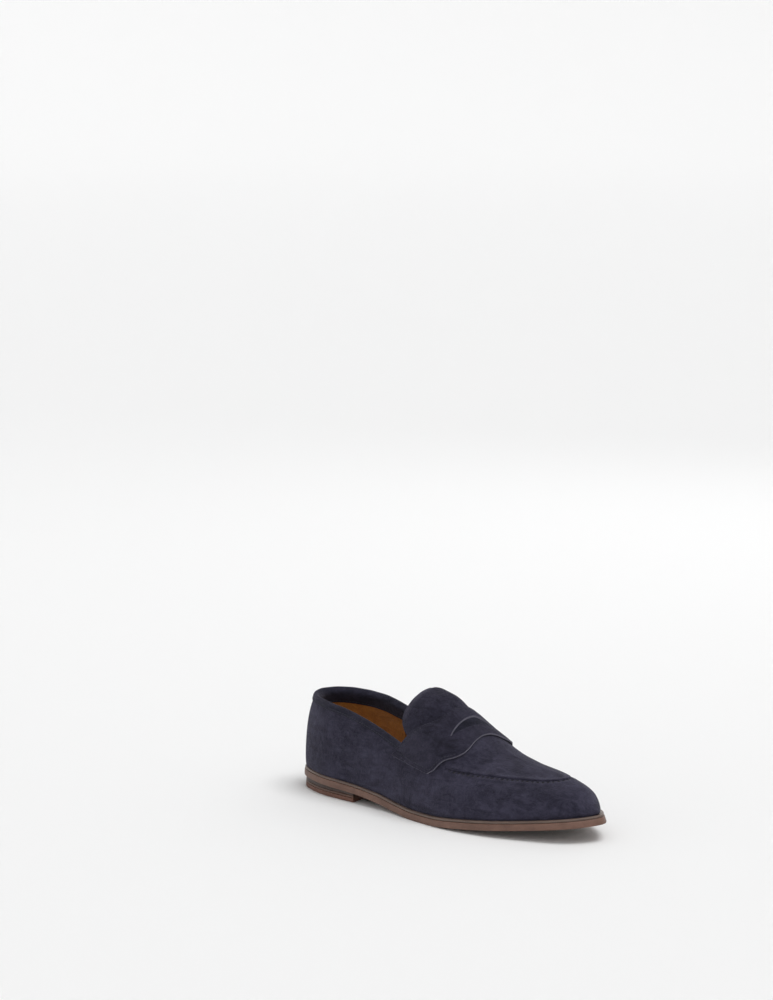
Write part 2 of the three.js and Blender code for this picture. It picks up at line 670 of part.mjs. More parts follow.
function addCollar() {
  const columns = toplineColumns(114, 125);
  const liningIn = -(SUEDE_T + STIFF_T + LINING_T + 2 * LAYER_GAP);
  const leaf = 0.7;
  const face = liningIn - LAYER_GAP;
  const outer = [[-0.05, 0.2 + leaf], [-0.02, 0.2 + leaf], [0.006, 0.7], [0.013, -1], [0.013, liningIn + 0.8],
    [0.006, face - leaf * 0.8], [-0.03, face - leaf], [-0.09, face - leaf]];
  const inner = [[-0.05, 0.2], [-0.02, 0.2], [0.005, 0.2], [0.006, -1], [0.006, liningIn + 0.8],
    [0.005, face], [-0.03, face], [-0.09, face]];
  const rows = (list) => list.map(([t, d]) => columns.map((k) => skin(k.s, edgeAt(k.side, k.xc) + t, d)));
  addPiece('collar_binding', slab(rows(outer), rows(inner)), NAVY, 0.95);
  const thread = columns.slice(1, -1).map((k) => skin(k.s, edgeAt(k.side, k.xc) - 0.04, 0.92 + THREAD_R));
  addPiece('collar_thread', cord(thread, THREAD_R), NAVY_DARK, 0.7);
  const reach = 0.012;
  const stay = spread(S_BACK + reach, S_BACK - reach, 6).map((s) => {
    const side = s > S_BACK ? -1 : 1;
    return { s, side, xc: station(foot(s).p.x) };
  });
  const top = (k) => edgeAt(k.side, k.xc) - 0.058;
  addPiece('back_stay', sheet(stay, (k) => girthAt(k.s, 1.2), top, 8, 1.15, 0.2), NAVY, 0.95);
  [[1, 'outer'], [-1, 'inner']].forEach(([side, label]) => {
    const s = S_BACK + side * reach * 0.72;
    const column = { s, side: -side, xc: station(foot(s).p.x) };
    const from = girthAt(s, 2);
    const path = spread(from, top(column) - 0.02, 14).map((t) => skin(s, t, 1.22 + THREAD_R));
    addPiece(`back_stay_thread_${label}`, cord(path, THREAD_R), NAVY_DARK, 0.7);
  });
}

function addStiffeners() {
  const out = -(SUEDE_T + LAYER_GAP);
  const inn = out - STIFF_T;
  const foot0 = (k) => girthAt(k.s, 2.4);
  const heel = toplineColumns(84, 84);
  const drop = (k) => 0.25 * THREE.MathUtils.smoothstep(k.xc, 50 * KX, 84 * KX);
  const heelTop = (k) => edgeAt(k.side, k.xc) * (0.86 - drop(k));
  addPiece('heel_counter', sheet(heel, foot0, heelTop, 4, out, inn), 0xc9b08a, 0.8);
  const toe = overToe(between(214, 999));
  addPiece('toe_puff', sheet(toe, foot0, (k) => edgeAt(k.side, k.xc) * 0.84, 3, out, inn), 0xc9b08a, 0.8);
}

function addLinings() {
  const out = -(SUEDE_T + STIFF_T + 2 * LAYER_GAP);
  const inn = out - LINING_T;
  const foot0 = (k) => girthAt(k.s, 2.4);
  const vamp = overToe(between(146, 999));
  addPiece('vamp_lining', sheet(vamp, foot0, () => 1, 7, out, inn), 0xc79a58, 0.7);
  const top = (k) => edgeAt(k.side, k.xc) - 0.004;
  const quarter = ribs(70.5, 145, 11);
  addPiece('quarter_lining_outer', sheet(outerSide(quarter), foot0, top, 4, out, inn), TAN, 0.55);
  addPiece('quarter_lining_inner', sheet(innerSide(quarter), foot0, top, 4, out, inn), TAN, 0.55);
  addPiece('heel_grip_lining', sheet(toplineColumns(70, 70), foot0, top, 4, out, inn), 0xa87434, 0.9);
}

addSole();
addInside();
addUpper();

const box = new THREE.Box3().setFromObject(shoe);
shoe.position.set(-(box.min.x + box.max.x) / 2, -(box.min.y + box.max.y) / 2, -box.min.z);

export default shoe;
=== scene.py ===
"""Penny loafer, right shoe, in suede with a stitched sole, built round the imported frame."""
import json
import math

import bmesh
import bpy
import numpy as np
from mathutils import Matrix, Vector

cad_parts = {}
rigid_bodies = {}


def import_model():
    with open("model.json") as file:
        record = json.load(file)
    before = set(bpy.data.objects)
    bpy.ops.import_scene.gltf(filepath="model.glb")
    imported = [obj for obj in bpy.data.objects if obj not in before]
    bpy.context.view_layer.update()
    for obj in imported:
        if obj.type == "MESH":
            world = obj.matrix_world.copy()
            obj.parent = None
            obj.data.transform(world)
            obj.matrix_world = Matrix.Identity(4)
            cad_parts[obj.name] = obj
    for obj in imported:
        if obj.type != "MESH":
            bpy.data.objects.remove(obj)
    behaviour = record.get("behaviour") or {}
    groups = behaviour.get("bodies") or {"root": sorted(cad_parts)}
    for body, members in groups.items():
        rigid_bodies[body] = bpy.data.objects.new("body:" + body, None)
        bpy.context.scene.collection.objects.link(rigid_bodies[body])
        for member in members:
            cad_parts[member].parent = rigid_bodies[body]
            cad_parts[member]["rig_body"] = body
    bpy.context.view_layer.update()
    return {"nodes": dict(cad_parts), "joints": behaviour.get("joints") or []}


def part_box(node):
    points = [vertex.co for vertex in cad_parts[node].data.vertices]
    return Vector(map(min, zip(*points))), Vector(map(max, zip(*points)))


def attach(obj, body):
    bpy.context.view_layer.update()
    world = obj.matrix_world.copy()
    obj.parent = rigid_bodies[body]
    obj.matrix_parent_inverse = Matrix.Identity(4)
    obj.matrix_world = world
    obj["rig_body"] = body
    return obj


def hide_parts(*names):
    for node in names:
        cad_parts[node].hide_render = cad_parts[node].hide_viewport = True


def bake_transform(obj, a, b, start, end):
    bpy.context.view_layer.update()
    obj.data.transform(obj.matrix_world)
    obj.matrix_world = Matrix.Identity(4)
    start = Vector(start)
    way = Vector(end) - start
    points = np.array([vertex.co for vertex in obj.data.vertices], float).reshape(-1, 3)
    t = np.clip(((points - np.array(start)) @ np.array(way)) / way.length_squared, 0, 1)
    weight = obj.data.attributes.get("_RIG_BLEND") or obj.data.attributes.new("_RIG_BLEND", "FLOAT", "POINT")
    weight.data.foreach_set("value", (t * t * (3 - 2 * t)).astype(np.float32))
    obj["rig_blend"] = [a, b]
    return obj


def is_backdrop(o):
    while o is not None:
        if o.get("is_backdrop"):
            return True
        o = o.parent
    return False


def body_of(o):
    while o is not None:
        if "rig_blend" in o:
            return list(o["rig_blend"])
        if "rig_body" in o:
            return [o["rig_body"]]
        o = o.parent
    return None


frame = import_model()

# ---------- sizes, in millimetres: x from the heel to the toe, y to the inner side, z up ----------
OUTLINE = [
    (0, 1), (8, -20), (36, -34), (76, -38), (116, -41.5), (152, -48.5), (186, -51.5), (222, -46.5),
    (253, -36), (277, -23.5), (289.5, -10.5), (294, 2), (289, 11.5), (279, 21.5), (262, 32.5), (238, 42.5),
    (212, 48.5), (184, 46), (150, 33.5), (115, 24.5), (77, 29), (37, 33), (8, 21),
]
HEEL = 7.4
TOP_LIFT_SHARE, LOWER_LIFT_SHARE = 0.46, 0.72
LIFT_GAP = 0.12
OUTSOLE_T = 5.3
MIDSOLE_T = 1.7
SOLE_T = OUTSOLE_T + 0.2 + MIDSOLE_T
SUEDE_T = 1.3
TAB_T = 0.285
SKEW = 6.0
SLIT_HALF = 0.5
SLIT_LINE, SLIT_REAR, SLIT_FRONT = 169.3, 2.3, 5.4
FRONT_DRAW = 6.5
POLE_REAR, POLE_FRONT = 38.0, 240.0
BREAST = 76.0
STRAP_BASE = 1.15
STRAP_TOP = STRAP_BASE + 1.25
SEAM_PITCH, SEAM_DROP = 4.0, 1.5
SOLE_PITCH, FINE_PITCH, STRAP_PITCH = 5.5, 2.8, 2.6


# ---------- tables and curves ----------
class Curve:
    """Smooth monotone line through a table: cubic pieces whose slopes are weighted harmonic means of their
    neighbours' slopes, and zero where the table turns."""

    def __init__(self, table):
        self.x, self.y = np.array(table, float).T
        step = np.diff(self.x)
        slope = np.diff(self.y) / step
        a, b = 2 * step[1:] + step[:-1], step[1:] + 2 * step[:-1]
        turns = slope[:-1] * slope[1:] <= 0
        left, right = np.where(turns, 1, slope[:-1]), np.where(turns, 1, slope[1:])
        middle = np.where(turns, 0, (a + b) / (a / left + b / right))
        self.m = np.concatenate([slope[:1], middle, slope[-1:]])

    def __call__(self, x):
        x = np.clip(x, self.x[0], self.x[-1])
        k = np.clip(np.searchsorted(self.x, x, side="right") - 1, 0, len(self.x) - 2)
        step = self.x[k + 1] - self.x[k]
        u = (x - self.x[k]) / step
        v = 1 - u
        ends = v * v * (1 + 2 * u) * self.y[k] + u * u * (3 - 2 * u) * self.y[k + 1]
        return ends + step * (u * v * v * self.m[k] - u * u * v * self.m[k + 1])


welt = Curve([(0, 1.2), (70, 1.4), (110, 2), (150, 2.4), (190, 3), (296, 3)])
underside = Curve([(0, 9.6), (76, HEEL), (100, 5.18), (125, 1.48), (146, 0), (164, 0), (200, 2.546),
                   (240, 6.566), (270, 10.05), (298, 13.4)])
ridge = Curve([(60, 103), (100, 97.5), (127, 91), (155, 82), (180, 66), (205, 52.6), (230, 47.5), (255, 45.5),
               (275, 46), (290, 31)])
ridge_y = Curve([(30, 0), (80, 0.5), (120, 2), (160, 3), (200, 3.5), (240, 4), (260, 4)])
plan_power = Curve([(0, 0.95), (60, 0.95), (120, 1), (160, 1.05), (220, 1.1), (296, 1.12)])
rise_power = Curve([(0, 1), (60, 1), (120, 1.05), (160, 1.05), (220, 0.97), (260, 0.96), (296, 1.05)])
bulge = Curve([(0, 3), (60, 1.8), (120, 1), (200, 1.6), (250, 1.7), (296, 3.2)])
edge_outer = Curve([(38, 0.48), (60, 0.445), (80, 0.42), (104, 0.39), (118, 0.38), (140, 0.385),
                    (165, 0.407), (175, 0.423), (190, 0.48), (200, 0.53), (210, 0.567), (220, 0.607),
                    (230, 0.642), (236, 0.68), (240, 0.715)])
edge_inner = Curve([(38, 0.48), (60, 0.455), (80, 0.435), (104, 0.405), (118, 0.395), (140, 0.395),
                    (165, 0.41), (175, 0.43), (190, 0.46), (210, 0.515), (220, 0.555), (230, 0.6),
                    (236, 0.652), (240, 0.715)])
rear_line = Curve([(0, 156), (0.2, 156), (0.39, 154), (0.5, 149), (0.6, 141.5), (0.7, 133.5), (0.8, 127.5),
                   (0.9, 122), (1, 115.5)])
front_line = Curve([(0, 183.9), (0.06, 183.88), (0.15, 183.75), (0.3, 184.5), (0.45, 185.5), (0.52, 185.2),
                    (0.6, 183.3), (0.67, 180.2), (0.77, 173.5), (0.85, 169.8), (0.92, 167), (1, 160.4)])
tongue_line = Curve([(0, 123), (0.06, 122.95), (0.25, 121.7), (0.42, 119.2), (0.6, 117.2), (0.66, 118),
                     (0.72, 121.5), (0.78, 127), (0.9, 141)])


def smooth(x, low, high):
    """Eased step from 0 at low to 1 at high."""
    u = np.clip((x - low) / (high - low), 0, 1)
    return u * u * (3 - 2 * u)


def bump(x, centre, width):
    """Bell curve of height 1."""
    return np.exp(-(((x - centre) / width) ** 2))


def strap_rear(c):
    return rear_line(np.abs(c))


def strap_front(c):
    """Front edge of the strap; its inner half lies a little further back."""
    return front_line(np.abs(c)) - FRONT_DRAW * bump(c, 0.6, 0.2)


def tongue_rear(c):
    return tongue_line(np.abs(c))


def seat(x):
    """Top of the sole, where the upper sits."""
    return underside(x) + SOLE_T


def wall_foot(x):
    return seat(x) + 0.25


def closed_spline(knots, span=200):
    """Closed curve through the knots, each span a cubic whose end tangents weigh the neighbours by the square
    root of their distances."""
    p1 = np.array(knots, float)
    p0, p2, p3 = np.roll(p1, 1, 0), np.roll(p1, -1, 0), np.roll(p1, -2, 0)
    d0, d1, d2 = (np.sqrt(np.linalg.norm(b - a, axis=1))[:, None] for a, b in ((p0, p1), (p1, p2), (p2, p3)))
    m1 = ((p1 - p0) / d0 - (p2 - p0) / (d0 + d1) + (p2 - p1) / d1) * d1
    m2 = ((p2 - p1) / d1 - (p3 - p1) / (d1 + d2) + (p3 - p2) / d2) * d1
    u = np.linspace(0, 1, span, endpoint=False)[None, :, None]
    p1, p2, m1, m2 = (a[:, None] for a in (p1, p2, m1, m2))
    points = (2 * u**3 - 3 * u**2 + 1) * p1 + (u**3 - 2 * u**2 + u) * m1
    points = points + (3 * u**2 - 2 * u**3) * p2 + (u**3 - u**2) * m2
    return points.reshape(-1, 2)


def lengths(path):
    """Distance along a path to each of its points."""
    return np.concatenate([[0], np.cumsum(np.linalg.norm(np.diff(path, axis=0), axis=1))])


def along(path, at):
    """Points at given distances along a path."""
    run = lengths(path)
    return np.stack([np.interp(at, run, path[:, k]) for k in range(path.shape[1])], -1)


RING_COUNT = 2880


def make_ring():
    """Sole outline spaced evenly, its outward normals, and the featherline inside it."""
    curve = closed_spline(OUTLINE)
    curve = np.vstack([curve, curve[:1]])
    total = lengths(curve)[-1]
    ring = along(curve, np.arange(RING_COUNT) * total / RING_COUNT)
    step = np.roll(ring, -1, 0) - np.roll(ring, 1, 0)
    normal = np.stack([step[:, 1], -step[:, 0]], -1)
    normal /= np.linalg.norm(normal, axis=1)[:, None]
    return ring, normal, ring - normal * welt(ring[:, 0])[:, None]


SOLE_RING, RING_NORMAL, FOOT_RING = make_ring()
FOOT_MIN, FOOT_MAX = FOOT_RING[:, 0].min(), FOOT_RING[:, 0].max()
S_TOE = FOOT_RING[:, 0].argmax() / RING_COUNT
S_BACK = FOOT_RING[:, 0].argmin() / RING_COUNT
S_BACK -= 1 if S_BACK > 0.5 else 0
SHIFT = np.array(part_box("outsole")[0]) * 1000 - np.array([SOLE_RING[:, 0].min(), SOLE_RING[:, 1].min(), 0.0])
SHIFT[2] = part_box("heel_top_lift")[0].z * 1000


def foot(s):
    """Featherline point and outward normal at a fraction s of the way round."""
    at = np.mod(s, 1.0) * RING_COUNT
    i = np.floor(at).astype(int) % RING_COUNT
    u = (at - np.floor(at))[..., None]
    j = (i + 1) % RING_COUNT
    normal = RING_NORMAL[i] * (1 - u) + RING_NORMAL[j] * u
    normal = normal / np.linalg.norm(normal, axis=-1)[..., None]
    return FOOT_RING[i] * (1 - u) + FOOT_RING[j] * u, normal


def station(x):
    """Place on the spine that belongs to a featherline x."""
    u = np.clip((x - FOOT_MIN) / (FOOT_MAX - FOOT_MIN), 0, 1)
    return POLE_REAR + (POLE_FRONT - POLE_REAR) * (u - 0.6 * np.sin(2 * np.pi * u) / (2 * np.pi))


S_OUTER = np.linspace(S_BACK, S_TOE, 6000)
S_INNER = np.linspace(S_BACK + 1, S_TOE, 6000)
X_OUTER = np.maximum.accumulate(station(foot(S_OUTER)[0][:, 0]))
X_INNER = np.maximum.accumulate(station(foot(S_INNER)[0][:, 0]))


def around(side, xc):
    """Fraction round the featherline at a station, on the outer (-1) or inner (1) side."""
    return np.where(side < 0, np.interp(xc, X_OUTER, S_OUTER), np.interp(xc, X_INNER, S_INNER))


def skin(s, t, d=0.0):
    """Master surface: s runs round the featherline, t climbs from it to the ridge, d stands off it. Each
    point slides from the featherline to the spine by a power of the cosine of t, and climbs by a power of
    its sine."""
    s, t, d = np.broadcast_arrays(np.asarray(s, float), t, d)
    p, n = foot(s)
    x = p[..., 0]
    xc = station(x)
    spine = np.stack([xc, ridge_y(xc)], -1)
    cos = np.clip(np.cos(np.pi * t / 2), 0, 1)
    sin = np.clip(np.sin(np.pi * t / 2), 0, 1)
    inward = 1 - cos ** plan_power(x)
    q = p + n * d[..., None]
    q = q + (spine - q) * inward[..., None]
    q = q + n * (bulge(x) * np.sin(np.pi * t) * cos**1.5)[..., None]
    low = wall_foot(q[..., 0])
    z = low + (ridge(q[..., 0]) + d - low) * sin ** rise_power(x)
    return np.concatenate([q, z[..., None]], -1)


def girth_at(s, height):
    """Girth position at which the surface has risen by a height."""
    x = foot(s)[0][..., 0]
    total = ridge(x) - wall_foot(x)
    return np.arcsin(np.minimum(1, (height / total) ** (1 / rise_power(x)))) * 2 / np.pi


def edge(s):
    """Girth position of the wall's top edge: the topline behind, the apron seam in front."""
    xc = station(foot(s)[0][..., 0])
    outer = np.mod(s - S_BACK, 1.0) <= S_TOE - S_BACK
    return np.where(outer, edge_outer(xc), edge_inner(xc))


def rate(s):
    """Millimetres of girth for one unit of t, just below the edge."""
    t = edge(s)
    return np.linalg.norm(skin(s, t) - skin(s, t - 0.03), axis=-1) / 0.03


def saddle(c, x, d=0.0):
    """Point over the vamp: c is -1 at the outer tab, 0 at the crown and 1 at the inner tab."""
    c, x, d = np.broadcast_arrays(np.asarray(c, float), x, d)
    side = np.where(c < 0, -1, 1)
    return skin(around(side, x + SKEW * np.tanh(2 * c)), 1 - (1 - TAB_T) * np.abs(c), d)


def paired(start, end, rear, front):
    """Outer and inner featherline places that share a station, with finer steps in the front part."""
    a = around(-1, start)
    b = S_TOE if end >= POLE_FRONT else around(-1, end)
    m = min(max(around(-1, 120.0), a), b)
    outer = np.concatenate([np.linspace(a, m, rear, endpoint=False), np.linspace(m, b, front)])
    inner = around(1, station(foot(outer)[0][:, 0]))
    if end >= POLE_FRONT:
        inner[-1] = S_TOE
    return outer, inner


def over_toe(start, rear, front):
    """Featherline places from one side over the toe to the other."""
    outer, inner = paired(start, POLE_FRONT, rear, front)
    return np.concatenate([outer, inner[-2::-1]])


def full_ring(rear, front):
    """Featherline places all the way round, outer and inner ones in pairs."""
    return over_toe(POLE_REAR, rear, front)[:-1]


# ---------- mesh making ----------
def quads_of(rows, columns, wrap_rows=False, wrap_columns=False):
    """Four-sided faces of a grid; either way may close on itself."""
    ids = np.arange(rows * columns).reshape(rows, columns)
    if wrap_rows:
        ids = np.vstack([ids, ids[:1]])
    if wrap_columns:
        ids = np.hstack([ids, ids[:, :1]])
    return np.stack([ids[:-1, :-1], ids[:-1, 1:], ids[1:, 1:], ids[1:, :-1]], -1).reshape(-1, 4)


def merged_ids(points):
    """One number for each group of points that lie on the same spot."""
    return np.unique(np.round(points, 3), axis=0, return_inverse=True)[1].reshape(-1)


def shell(top, bottom, keep=None):
    """Closed body between two matching grids: both faces, and a wall along each edge that is really open."""
    rows, columns = top.shape[:2]
    faces = quads_of(rows, columns)
    if keep is not None:
        faces = faces[keep.reshape(-1)]
    points = np.concatenate([top.reshape(-1, 3), bottom.reshape(-1, 3)])
    n = rows * columns
    same = merged_ids(np.concatenate([points[:n], points[n:]], -1))
    edges = np.concatenate([faces[:, [k, (k + 1) % 4]] for k in range(4)])
    a, b = same[edges[:, 0]], same[edges[:, 1]]
    is_open = (a != b) & ~np.isin(a * n + b, b * n + a)
    e = edges[is_open]
    wall = np.stack([e[:, 1], e[:, 0], e[:, 0] + n, e[:, 1] + n], -1)
    return points, np.concatenate([faces, faces[:, ::-1] + n, wall])


def rim_marks(rim):
    """The same rim values for both faces of a shell."""
    return {"rim": np.tile(rim.reshape(-1), 2)}


def lifted(plan, height):
    """Plan points with their heights."""
    return np.concatenate([plan, height[:, None]], -1)


def link(thing):
    bpy.context.scene.collection.objects.link(thing)
    return thing


def bevelled(piece, width):
    """Rounds the sharp edges of a piece and keeps the result as its mesh."""
    modifier = piece.modifiers.new("edge", "BEVEL")
    modifier.width = width / 1000
    modifier.segments = 2
    modifier.limit_method = "ANGLE"
    modifier.angle_limit = math.radians(55)
    graph = bpy.context.evaluated_depsgraph_get()
    mesh = bpy.data.meshes.new_from_object(piece.evaluated_get(graph))
    piece.modifiers.clear()
    old = piece.data
    piece.data = mesh
    mesh.name = piece.name
    bpy.data.meshes.remove(old)


def build(name, points, faces, finish, nodes=(), marks=None, weld=0.002, bevel=0, crease=50,
          caps=()):
    """Makes one piece from points in the maker's frame, with doubles merged and faces turned outward."""
    mesh = bpy.data.meshes.new(name)
    every = [*faces.tolist(), *[list(c) for c in caps]]
    mesh.from_pydata(((points + SHIFT) / 1000).tolist(), [], every)
    for key, values in (marks or {}).items():
        mesh.attributes.new(key, "FLOAT", "POINT").data.foreach_set("value", np.asarray(values, np.float32))
    work = bmesh.new()
    work.from_mesh(mesh)
    bmesh.ops.remove_doubles(work, verts=work.verts, dist=weld / 1000)
    bmesh.ops.dissolve_degenerate(work, edges=work.edges, dist=weld / 2000)
    bmesh.ops.recalc_face_normals(work, faces=work.faces)
    work.to_mesh(mesh)
    work.free()
    piece = link(bpy.data.objects.new(name, mesh))
    if bevel:
        bevelled(piece, bevel)
    mesh = piece.data
    mesh.materials.clear()
    mesh.materials.append(finish)
    mesh.polygons.foreach_set("use_smooth", np.ones(len(mesh.polygons), bool))
    mesh.set_sharp_from_angle(angle=math.radians(crease))
    mesh.update()
    if nodes:
        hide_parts(*nodes)
    return piece


def stitches(name, path, up, pitch, size, finish, nodes=(), dip=0.5, lift=0.0):
    """Row of separate thread stitches along a path: each is a short round bar, thinner at both ends, that
    arches out along up and dips into the leather where it starts and stops."""
    length, radius = size
    centres = np.arange(pitch / 2, lengths(path)[-1], pitch)
    u = np.array([-1, -0.8, -0.4, 0, 0.4, 0.8, 1])
    at = centres[:, None] + u[None] * length / 2
    middle = along(path, at)
    run = lengths(path)
    normal = np.stack([np.interp(at, run, up[:, k]) for k in range(3)], -1)
    normal /= np.linalg.norm(normal, axis=-1)[..., None]
    tangent = along(path, at + 0.3) - along(path, at - 0.3)
    tangent /= np.linalg.norm(tangent, axis=-1)[..., None] + 1e-9
    across = np.cross(tangent, normal)
    across /= np.linalg.norm(across, axis=-1)[..., None] + 1e-9
    middle = middle + normal * (lift - dip * u**4)[None, :, None]
    angle = np.arange(6) * np.pi / 3
    thick = radius * np.sqrt(1 - (0.93 * u) ** 6)
    cos, sin = (f(angle)[None, None, :, None] for f in (np.cos, np.sin))
    ring = across[:, :, None] * cos + normal[:, :, None] * sin
    points = middle[:, :, None] + ring * thick[None, :, None, None]
    one = quads_of(len(u), 6, wrap_columns=True)
    last = (len(u) - 1) * 6
    end = last + np.array([[0, 1, 2, 3], [0, 3, 4, 5]])
    one = np.concatenate([one, [[3, 2, 1, 0], [5, 4, 3, 0]], end])
    faces = (one[None] + (np.arange(len(centres)) * len(u) * 6)[:, None, None]).reshape(-1, 4)
    ply = (at[:, :, None] / 0.9 + angle[None, None] / (2 * np.pi)).reshape(-1)
    return build(name, points.reshape(-1, 3), faces, finish, nodes, {"ply": ply}, weld=0.0005)


def sewn(name, s, t, depth, finish, nodes=(), size=(2.1, 0.3), dip=0.35, lift=0.1, out=1.0):
    """Row of fine stitches on the master surface at a depth; out is -1 where they stand into the shoe."""
    path = skin(s, t, depth)
    stitches(name, path, skin(s, t, depth + out) - path, FINE_PITCH, size, finish, nodes, dip, lift)


# ---------- shader maths ----------
class Wire:
    """An output socket. Arithmetic on it adds Math nodes."""

    def __init__(self, bench, socket):
        self.bench, self.socket = bench, socket

    def _math(self, operation, first, second):
        return self.bench.node("Math", {"operation": operation}, {0: first, 1: second})

    def __add__(self, other):
        return self._math("ADD", self, other)

    def __mul__(self, other):
        return self._math("MULTIPLY", self, other)

    def __sub__(self, other):
        return self._math("SUBTRACT", self, other)

    def __rsub__(self, other):
        return self._math("SUBTRACT", other, self)

    __radd__ = __add__
    __rmul__ = __mul__


class Bench:
    def __init__(self, name):
        self.material = bpy.data.materials.new(name)
        self.material.use_nodes = True
        self.tree = self.material.node_tree
        self.tree.nodes.clear()
        self.place = self.node("TexCoord", output="Object")

    def node(self, kind, settings=None, inputs=None, output=0):
        made = self.tree.nodes.new("ShaderNode" + kind)
        for key, value in (settings or {}).items():
            if key == "stops":
                self._stops(made.color_ramp, value)
            else:
                setattr(made, key, value)
        for key, value in (inputs or {}).items():
            if isinstance(value, Wire):
                self.tree.links.new(value.socket, made.inputs[key])
            else:
                made.inputs[key].default_value = value
        return Wire(self, made.outputs[output]) if made.outputs else None

    @staticmethod
    def _stops(ramp, stops):
        while len(ramp.elements) < len(stops):
            ramp.elements.new(1.0)
        for element, (place, grey) in zip(ramp.elements, stops):
            element.position = place
            element.color = (grey, grey, grey, 1)

    def stretched(self, stretch):
        """Object coordinates, scaled by a different amount in each direction."""
        inputs = {"Vector": self.place, "Scale": stretch}
        return self.node("Mapping", inputs=inputs) if stretch else self.place

    def noise(self, scale, detail=3.0, rough=0.55, stretch=None, distortion=0.0):
        """Noise with features about 1/scale metres across."""
        inputs = {"Vector": self.stretched(stretch), "Scale": scale, "Detail": detail, "Roughness": rough}
        return self.node("TexNoise", inputs={**inputs, "Distortion": distortion})

    def cells(self, scale, width, stretch=None):
        """Cells about 1/scale metres across, 1 inside and falling to 0 along their borders."""
        inputs = {"Vector": self.stretched(stretch), "Scale": scale}
        border = self.node("TexVoronoi", {"feature": "DISTANCE_TO_EDGE"}, inputs)
        return self.ramp(border, (0.0, 0), (width, 1))

    def ramp(self, value, *stops):
        return self.node("ValToRGB", {"stops": stops}, {0: value})

    def mark(self, name):
        return self.node("Attribute", {"attribute_name": name}, output="Fac")

    def blend(self, factor, first, second, how="MIX"):
        """Mix of two colours."""
        return self.node("Mix", {"data_type": "RGBA", "blend_type": how}, {0: factor, 6: first, 7: second}, 2)

    def bump(self, height, depth, strength=1.0, under=None):
        """Bump of a given depth in millimetres."""
        inputs = {"Height": height, "Distance": depth / 1000, "Strength": strength}
        if under is not None:
            inputs["Normal"] = under
        return self.node("Bump", inputs=inputs)

    def finish(self, colour, roughness, normal=None, fixed=None):
        inputs = {"Base Color": colour, "Roughness": roughness, **(fixed or {})}
        if normal is not None:
            inputs["Normal"] = normal
        surface = self.node("BsdfPrincipled", inputs=inputs)
        self.node("OutputMaterial", inputs={"Surface": surface})
        return self.material


def rgb(r, g, b):
    """Linear colour from the usual 0 to 255 numbers."""
    def part(v):
        v /= 255
        return v / 12.92 if v <= 0.04045 else ((v + 0.055) / 1.055) ** 2.4
    return (part(r), part(g), part(b), 1.0)


def shaded(colour, by):
    """A colour made darker or paler by a factor."""
    return tuple(by * v for v in colour[:3]) + (1,)


def suede(name, dark, light, rim=None, sheen=0.22):
    """Napped calf: shades mottled by brushing, soft dark strokes, a fine fibre grain, paler cut edges, painted
    seam shade.
    """
    m = Bench(name)
    deep, pale = shaded(dark, 0.55), shaded(light, 1.55)
    cloud = m.ramp(m.noise(34, 5, 0.62, distortion=0.6), (0.4, 0), (0.6, 1))
    patch = m.ramp(m.noise(120, 5, 0.7, (0.7, 1.2, 1.5), 1.4), (0.42, 0), (0.58, 1))
    stroke = m.ramp(m.noise(50, 4, 0.6, (0.5, 0.9, 2.4), 0.5), (0.57, 0), (0.66, 1))
    fibre = m.ramp(m.noise(1150, 3, 0.75), (0.32, 0), (0.68, 1))
    nap = m.ramp(m.noise(430, 5, 0.75, (1.0, 1.0, 0.6)), (0.35, 0), (0.65, 1))
    shade = m.blend(cloud * 0.55 + patch * 0.45, dark, light)
    shade = m.blend(stroke * 0.7, shade, deep)
    shade = m.blend(fibre * 0.28, shade, pale)
    shade = m.blend(nap * 0.22, shade, deep)
    # Painted shade: the seam mark darkens the suede along the furrow under the apron bead and round each
    # stitch dent.
    shade = m.blend(m.mark("seam") * 0.85, shade, shaded(dark, 0.25))
    if rim:
        shade = m.blend(m.ramp(m.mark("rim"), (0.3, 0), (0.9, 1)) * 0.85, shade, rim)
    normal = m.bump(nap, 0.3, 0.6)
    normal = m.bump(fibre, 0.2, 0.7, normal)
    return m.finish(shade, 0.95, normal, {"Sheen Weight": sheen, "Sheen Roughness": 0.45,
                                          "Sheen Tint": (0.62, 0.6, 0.72, 1), "Specular IOR Level": 0.1})


def leather(name, base, deep, gloss=0.5, pore=900, wear=0.4, sheen=0.0):
    """Grain leather: pores and fine wrinkles, a slow change of shade, and gloss that dulls with handling."""
    m = Bench(name)
    slow = m.ramp(m.noise(28, 4, 0.6), (0.3, 0), (0.75, 1))
    crease = m.cells(pore, 0.12)
    fine = m.noise(1700, 3, 0.65)
    shade = m.blend(slow * wear, base, deep)
    shade = m.blend((1 - crease) * 0.35, shade, shaded(deep, 0.6))
    normal = m.bump(crease, 0.05, 0.5)
    normal = m.bump(fine, 0.05, 0.4, normal)
    return m.finish(shade, gloss + 0.18 * slow + 0.08 * fine, normal, {"Sheen Weight": sheen})


def sole_edge(name, base, deep, gloss=0.42):
    """Burnished sole edge: fine lines of the knife and brush along the edge, and uneven stain."""
    m = Bench(name)
    stain = m.ramp(m.noise(60, 5, 0.6), (0.3, 0), (0.7, 1))
    lines = m.noise(240, 4, 0.7, (0.25, 0.25, 9.0))
    speck = m.noise(1300, 2, 0.6)
    shade = m.blend(stain * 0.7, base, deep)
    shade = m.blend(m.ramp(lines, (0.45, 0), (0.7, 1)) * 0.4, shade, shaded(deep, 0.62))
    normal = m.bump(lines, 0.12, 0.5)
    normal = m.bump(speck, 0.05, 0.4, normal)
    return m.finish(shade, gloss + 0.2 * lines, normal)


